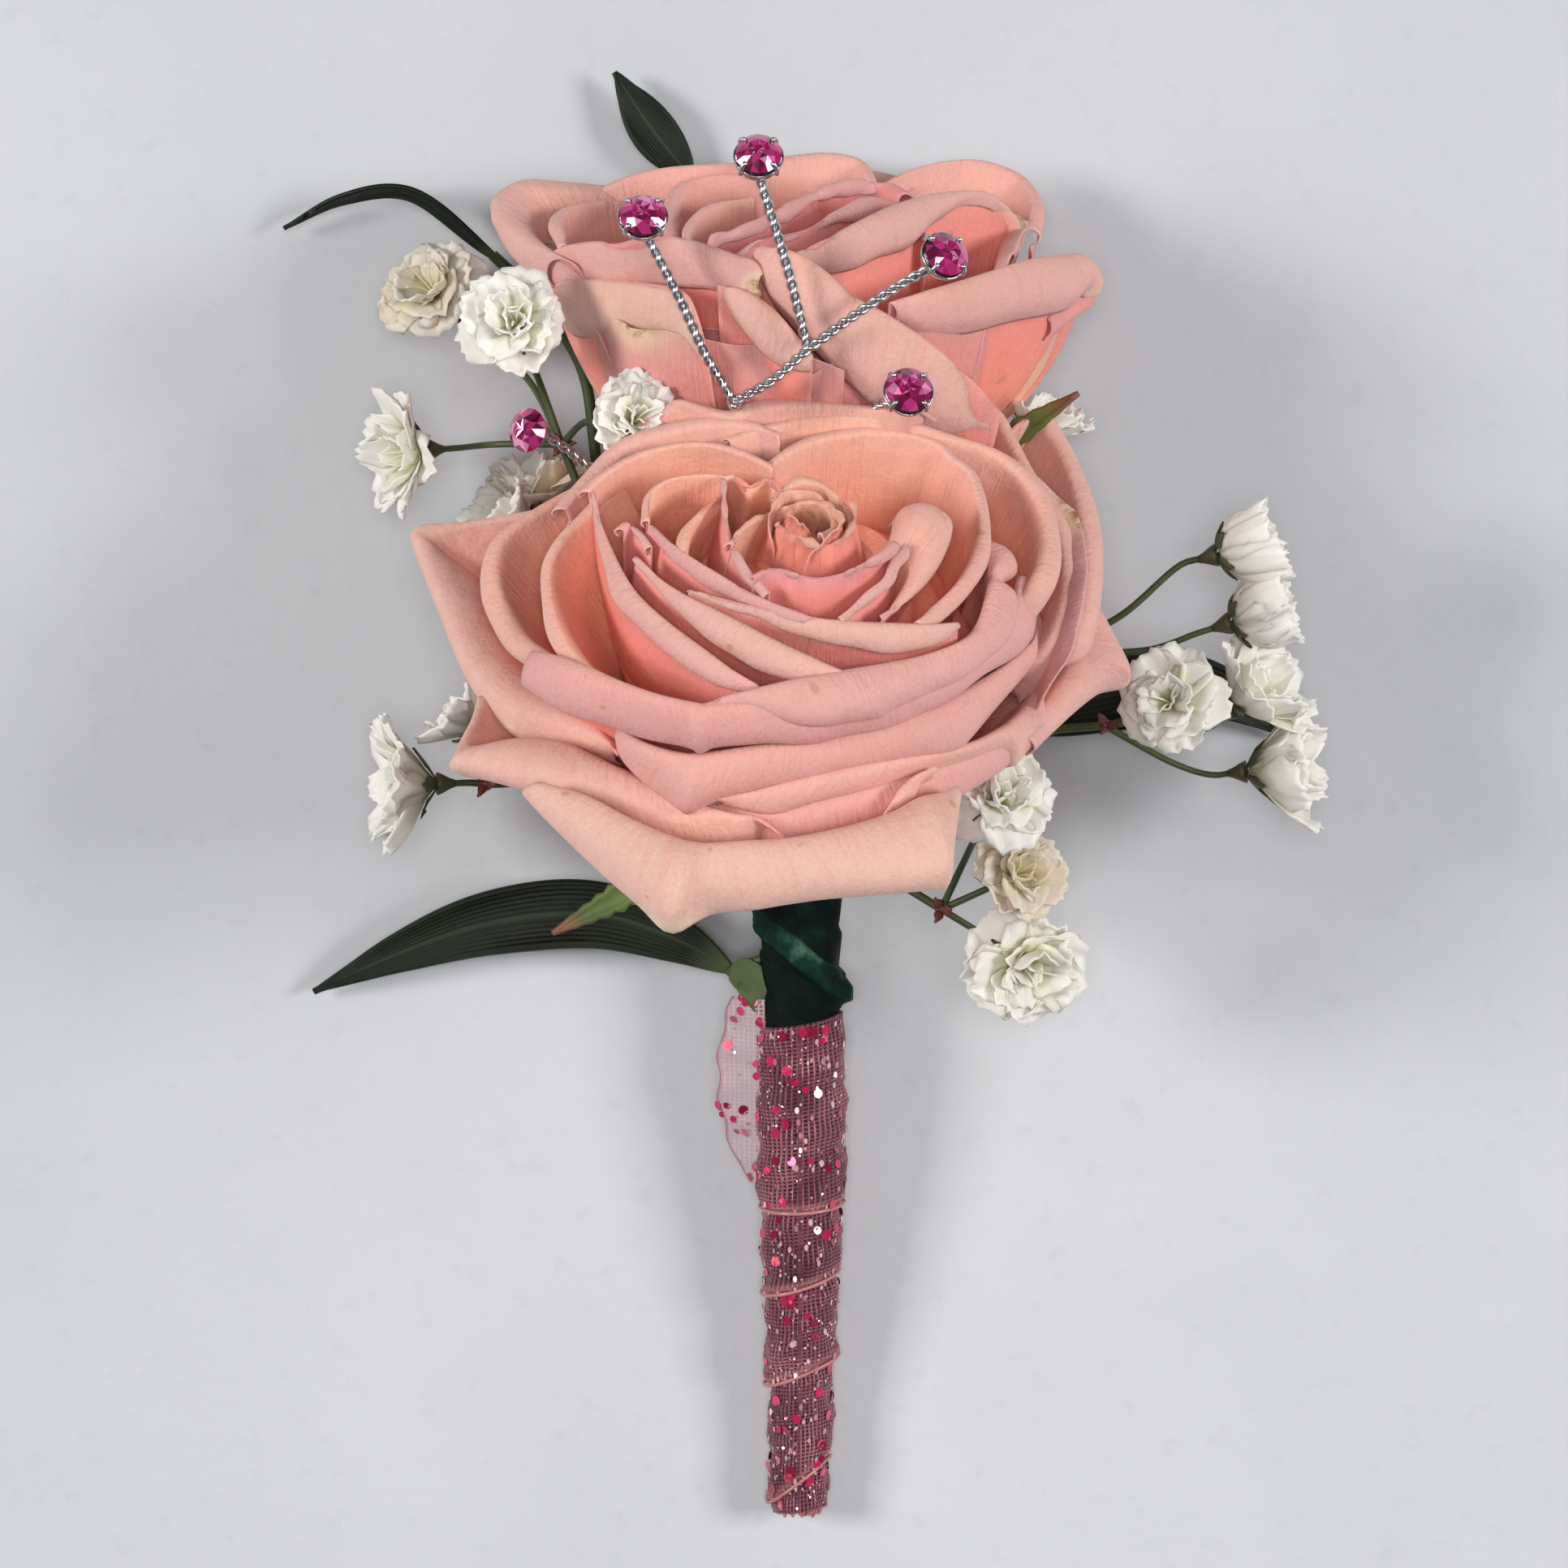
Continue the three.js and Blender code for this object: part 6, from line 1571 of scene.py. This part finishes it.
def ribbon_hems(pile):
    """A raised thread along the edge of each round that lies on the next one."""
    turn = np.linspace(0, 2 * np.pi, 90)
    for edge in ribbon_edges(turn)[1:-1]:
        hem = wound(edge, turn, ribbon_radius(edge - 0.3, turn) + 0.02, RIBBON_SLANT)
        hem[:, 2] = np.maximum(hem[:, 2], 0.25)
        pile.tube(hem, 0.15, 6, tip=0.75)


def ribbon_fray(pile, rng):
    """Loose threads at the handle's end."""
    for _ in range(14):
        a = rng.uniform(-0.9, 1.3)
        d = RIBBON_END + np.array([-1.5, 0, rng.uniform(0.2, 0.7)])
        out = wound(d, a, np.array([1.9, 1.9, rng.uniform(0.7, 1.9)]), 0)
        pile.tube(spaced(out, 8), 0.15, 5, tip=0.7)


def glitter_ribbon():
    rng = np.random.default_rng(21)
    pile = Pile("across", "along", "tip", "face")
    ribbon_sleeve(pile)
    ribbon_hems(pile)
    ribbon_fray(pile, rng)
    pile.piece("glitter_ribbon", ribbon_material(), "glitter_ribbon")
    tail_places, tail_normals = on_tail(ribbon_tail(), TAIL_SEQUINS + TAIL_FLAKES, rng)
    sequins = Pile("tone", "face")
    flakes(sequins, *on_ribbon(190, rng), SEQUIN, 10, 0.1, rng)
    flakes(sequins, tail_places[:TAIL_SEQUINS], tail_normals[:TAIL_SEQUINS], TAIL_SEQUIN, 10, 0.12, rng)
    red = flake_material("sequins", "#8E0430", "#E8306E", 0.2)
    sequins.piece("ribbon_sequins", red, "glitter_ribbon", flat=True)
    glitter = Pile("tone", "face")
    flakes(glitter, *on_ribbon(900, rng), GLITTER, 6, 0.12, rng)
    flakes(glitter, *on_ribbon(260, rng), LONG_GLITTER, 8, 0.14, rng, 1.6)
    flakes(glitter, tail_places[TAIL_SEQUINS:], tail_normals[TAIL_SEQUINS:], TAIL_GLITTER, 6, 0.12, rng)
    pink = flake_material("glitter", "#C97F95", "#F6D3D6", 0.14)
    glitter.piece("ribbon_glitter", pink, "glitter_ribbon", flat=True)


# Surface, lights and camera

def surface():
    s = Shader("surface", Roughness=0.85, Specular_IOR_Level=0.2)
    cloud = s.noise(s.here(), 9, 4)
    grain = s.noise(s.here(), 420, 3)
    base = s.ramp(cloud, (0.3, "#BEC1C6"), (0.7, "#CDCFD3"))
    s.colour(s.mix(s.between(grain, 0.55, 0.8, 0.0, 0.25), base, "#B2B4BA"))
    s.bump(s.plus(grain, s.noise(s.here(), 70, 3)), 0.25, 0.25)
    mesh = bpy.data.meshes.new("surface")
    reach = 1.2
    corners = [(x * reach, y * reach, 0) for x, y in ((-1, -1), (1, -1), (1, 1), (-1, 1))]
    mesh.from_pydata(corners, [], [(0, 1, 2, 3)])
    mesh.materials.append(s.material)
    made = bpy.data.objects.new("surface", mesh)
    bpy.context.scene.collection.objects.link(made)


def area_light(name, place, size, power, colour):
    light = bpy.data.lights.new(name, "AREA")
    light.shape = "SQUARE"
    light.size, light.energy, light.color = size, power, rgb(colour)[:3]
    made = bpy.data.objects.new(name, light)
    made.location = place
    aim = -np.array(place) + np.array([0, 0, 0.02])
    made.rotation_euler = Vector(aim.tolist()).to_track_quat("-Z", "Y").to_euler()
    bpy.context.scene.collection.objects.link(made)


def studio():
    scene = bpy.context.scene
    world = bpy.data.worlds.new("studio")
    world.use_nodes = True
    world.node_tree.nodes["Background"].inputs["Color"].default_value = rgb("#EDEFF3")
    world.node_tree.nodes["Background"].inputs["Strength"].default_value = 0.14
    scene.world = world
    scene.view_settings.view_transform = "Standard"
    area_light("window_left", (-0.78, 0.1, 0.62), 0.3, 6.4, "#FFFDF9")
    area_light("window_right", (0.78, 0.06, 0.6), 0.3, 6.1, "#FFFDFA")
    area_light("ceiling", (0.0, 0.0, 0.95), 0.25, 2.7, "#FFFFFF")


def camera():
    lens = bpy.data.cameras.new("camera")
    lens.sensor_width = SENSOR
    lens.lens = FOCAL / PICTURE * SENSOR
    lens.clip_start = 0.01
    made = bpy.data.objects.new("camera", lens)
    made.location = (np.array([0, 0, CAMERA_HEIGHT]) - MIDDLE) * METRES
    bpy.context.scene.collection.objects.link(made)
    bpy.context.scene.camera = made


roses()
rose_greens()
ruscus()
babys_breath()
jewels()
floral_tape()
glitter_ribbon()
surface()
studio()
camera()
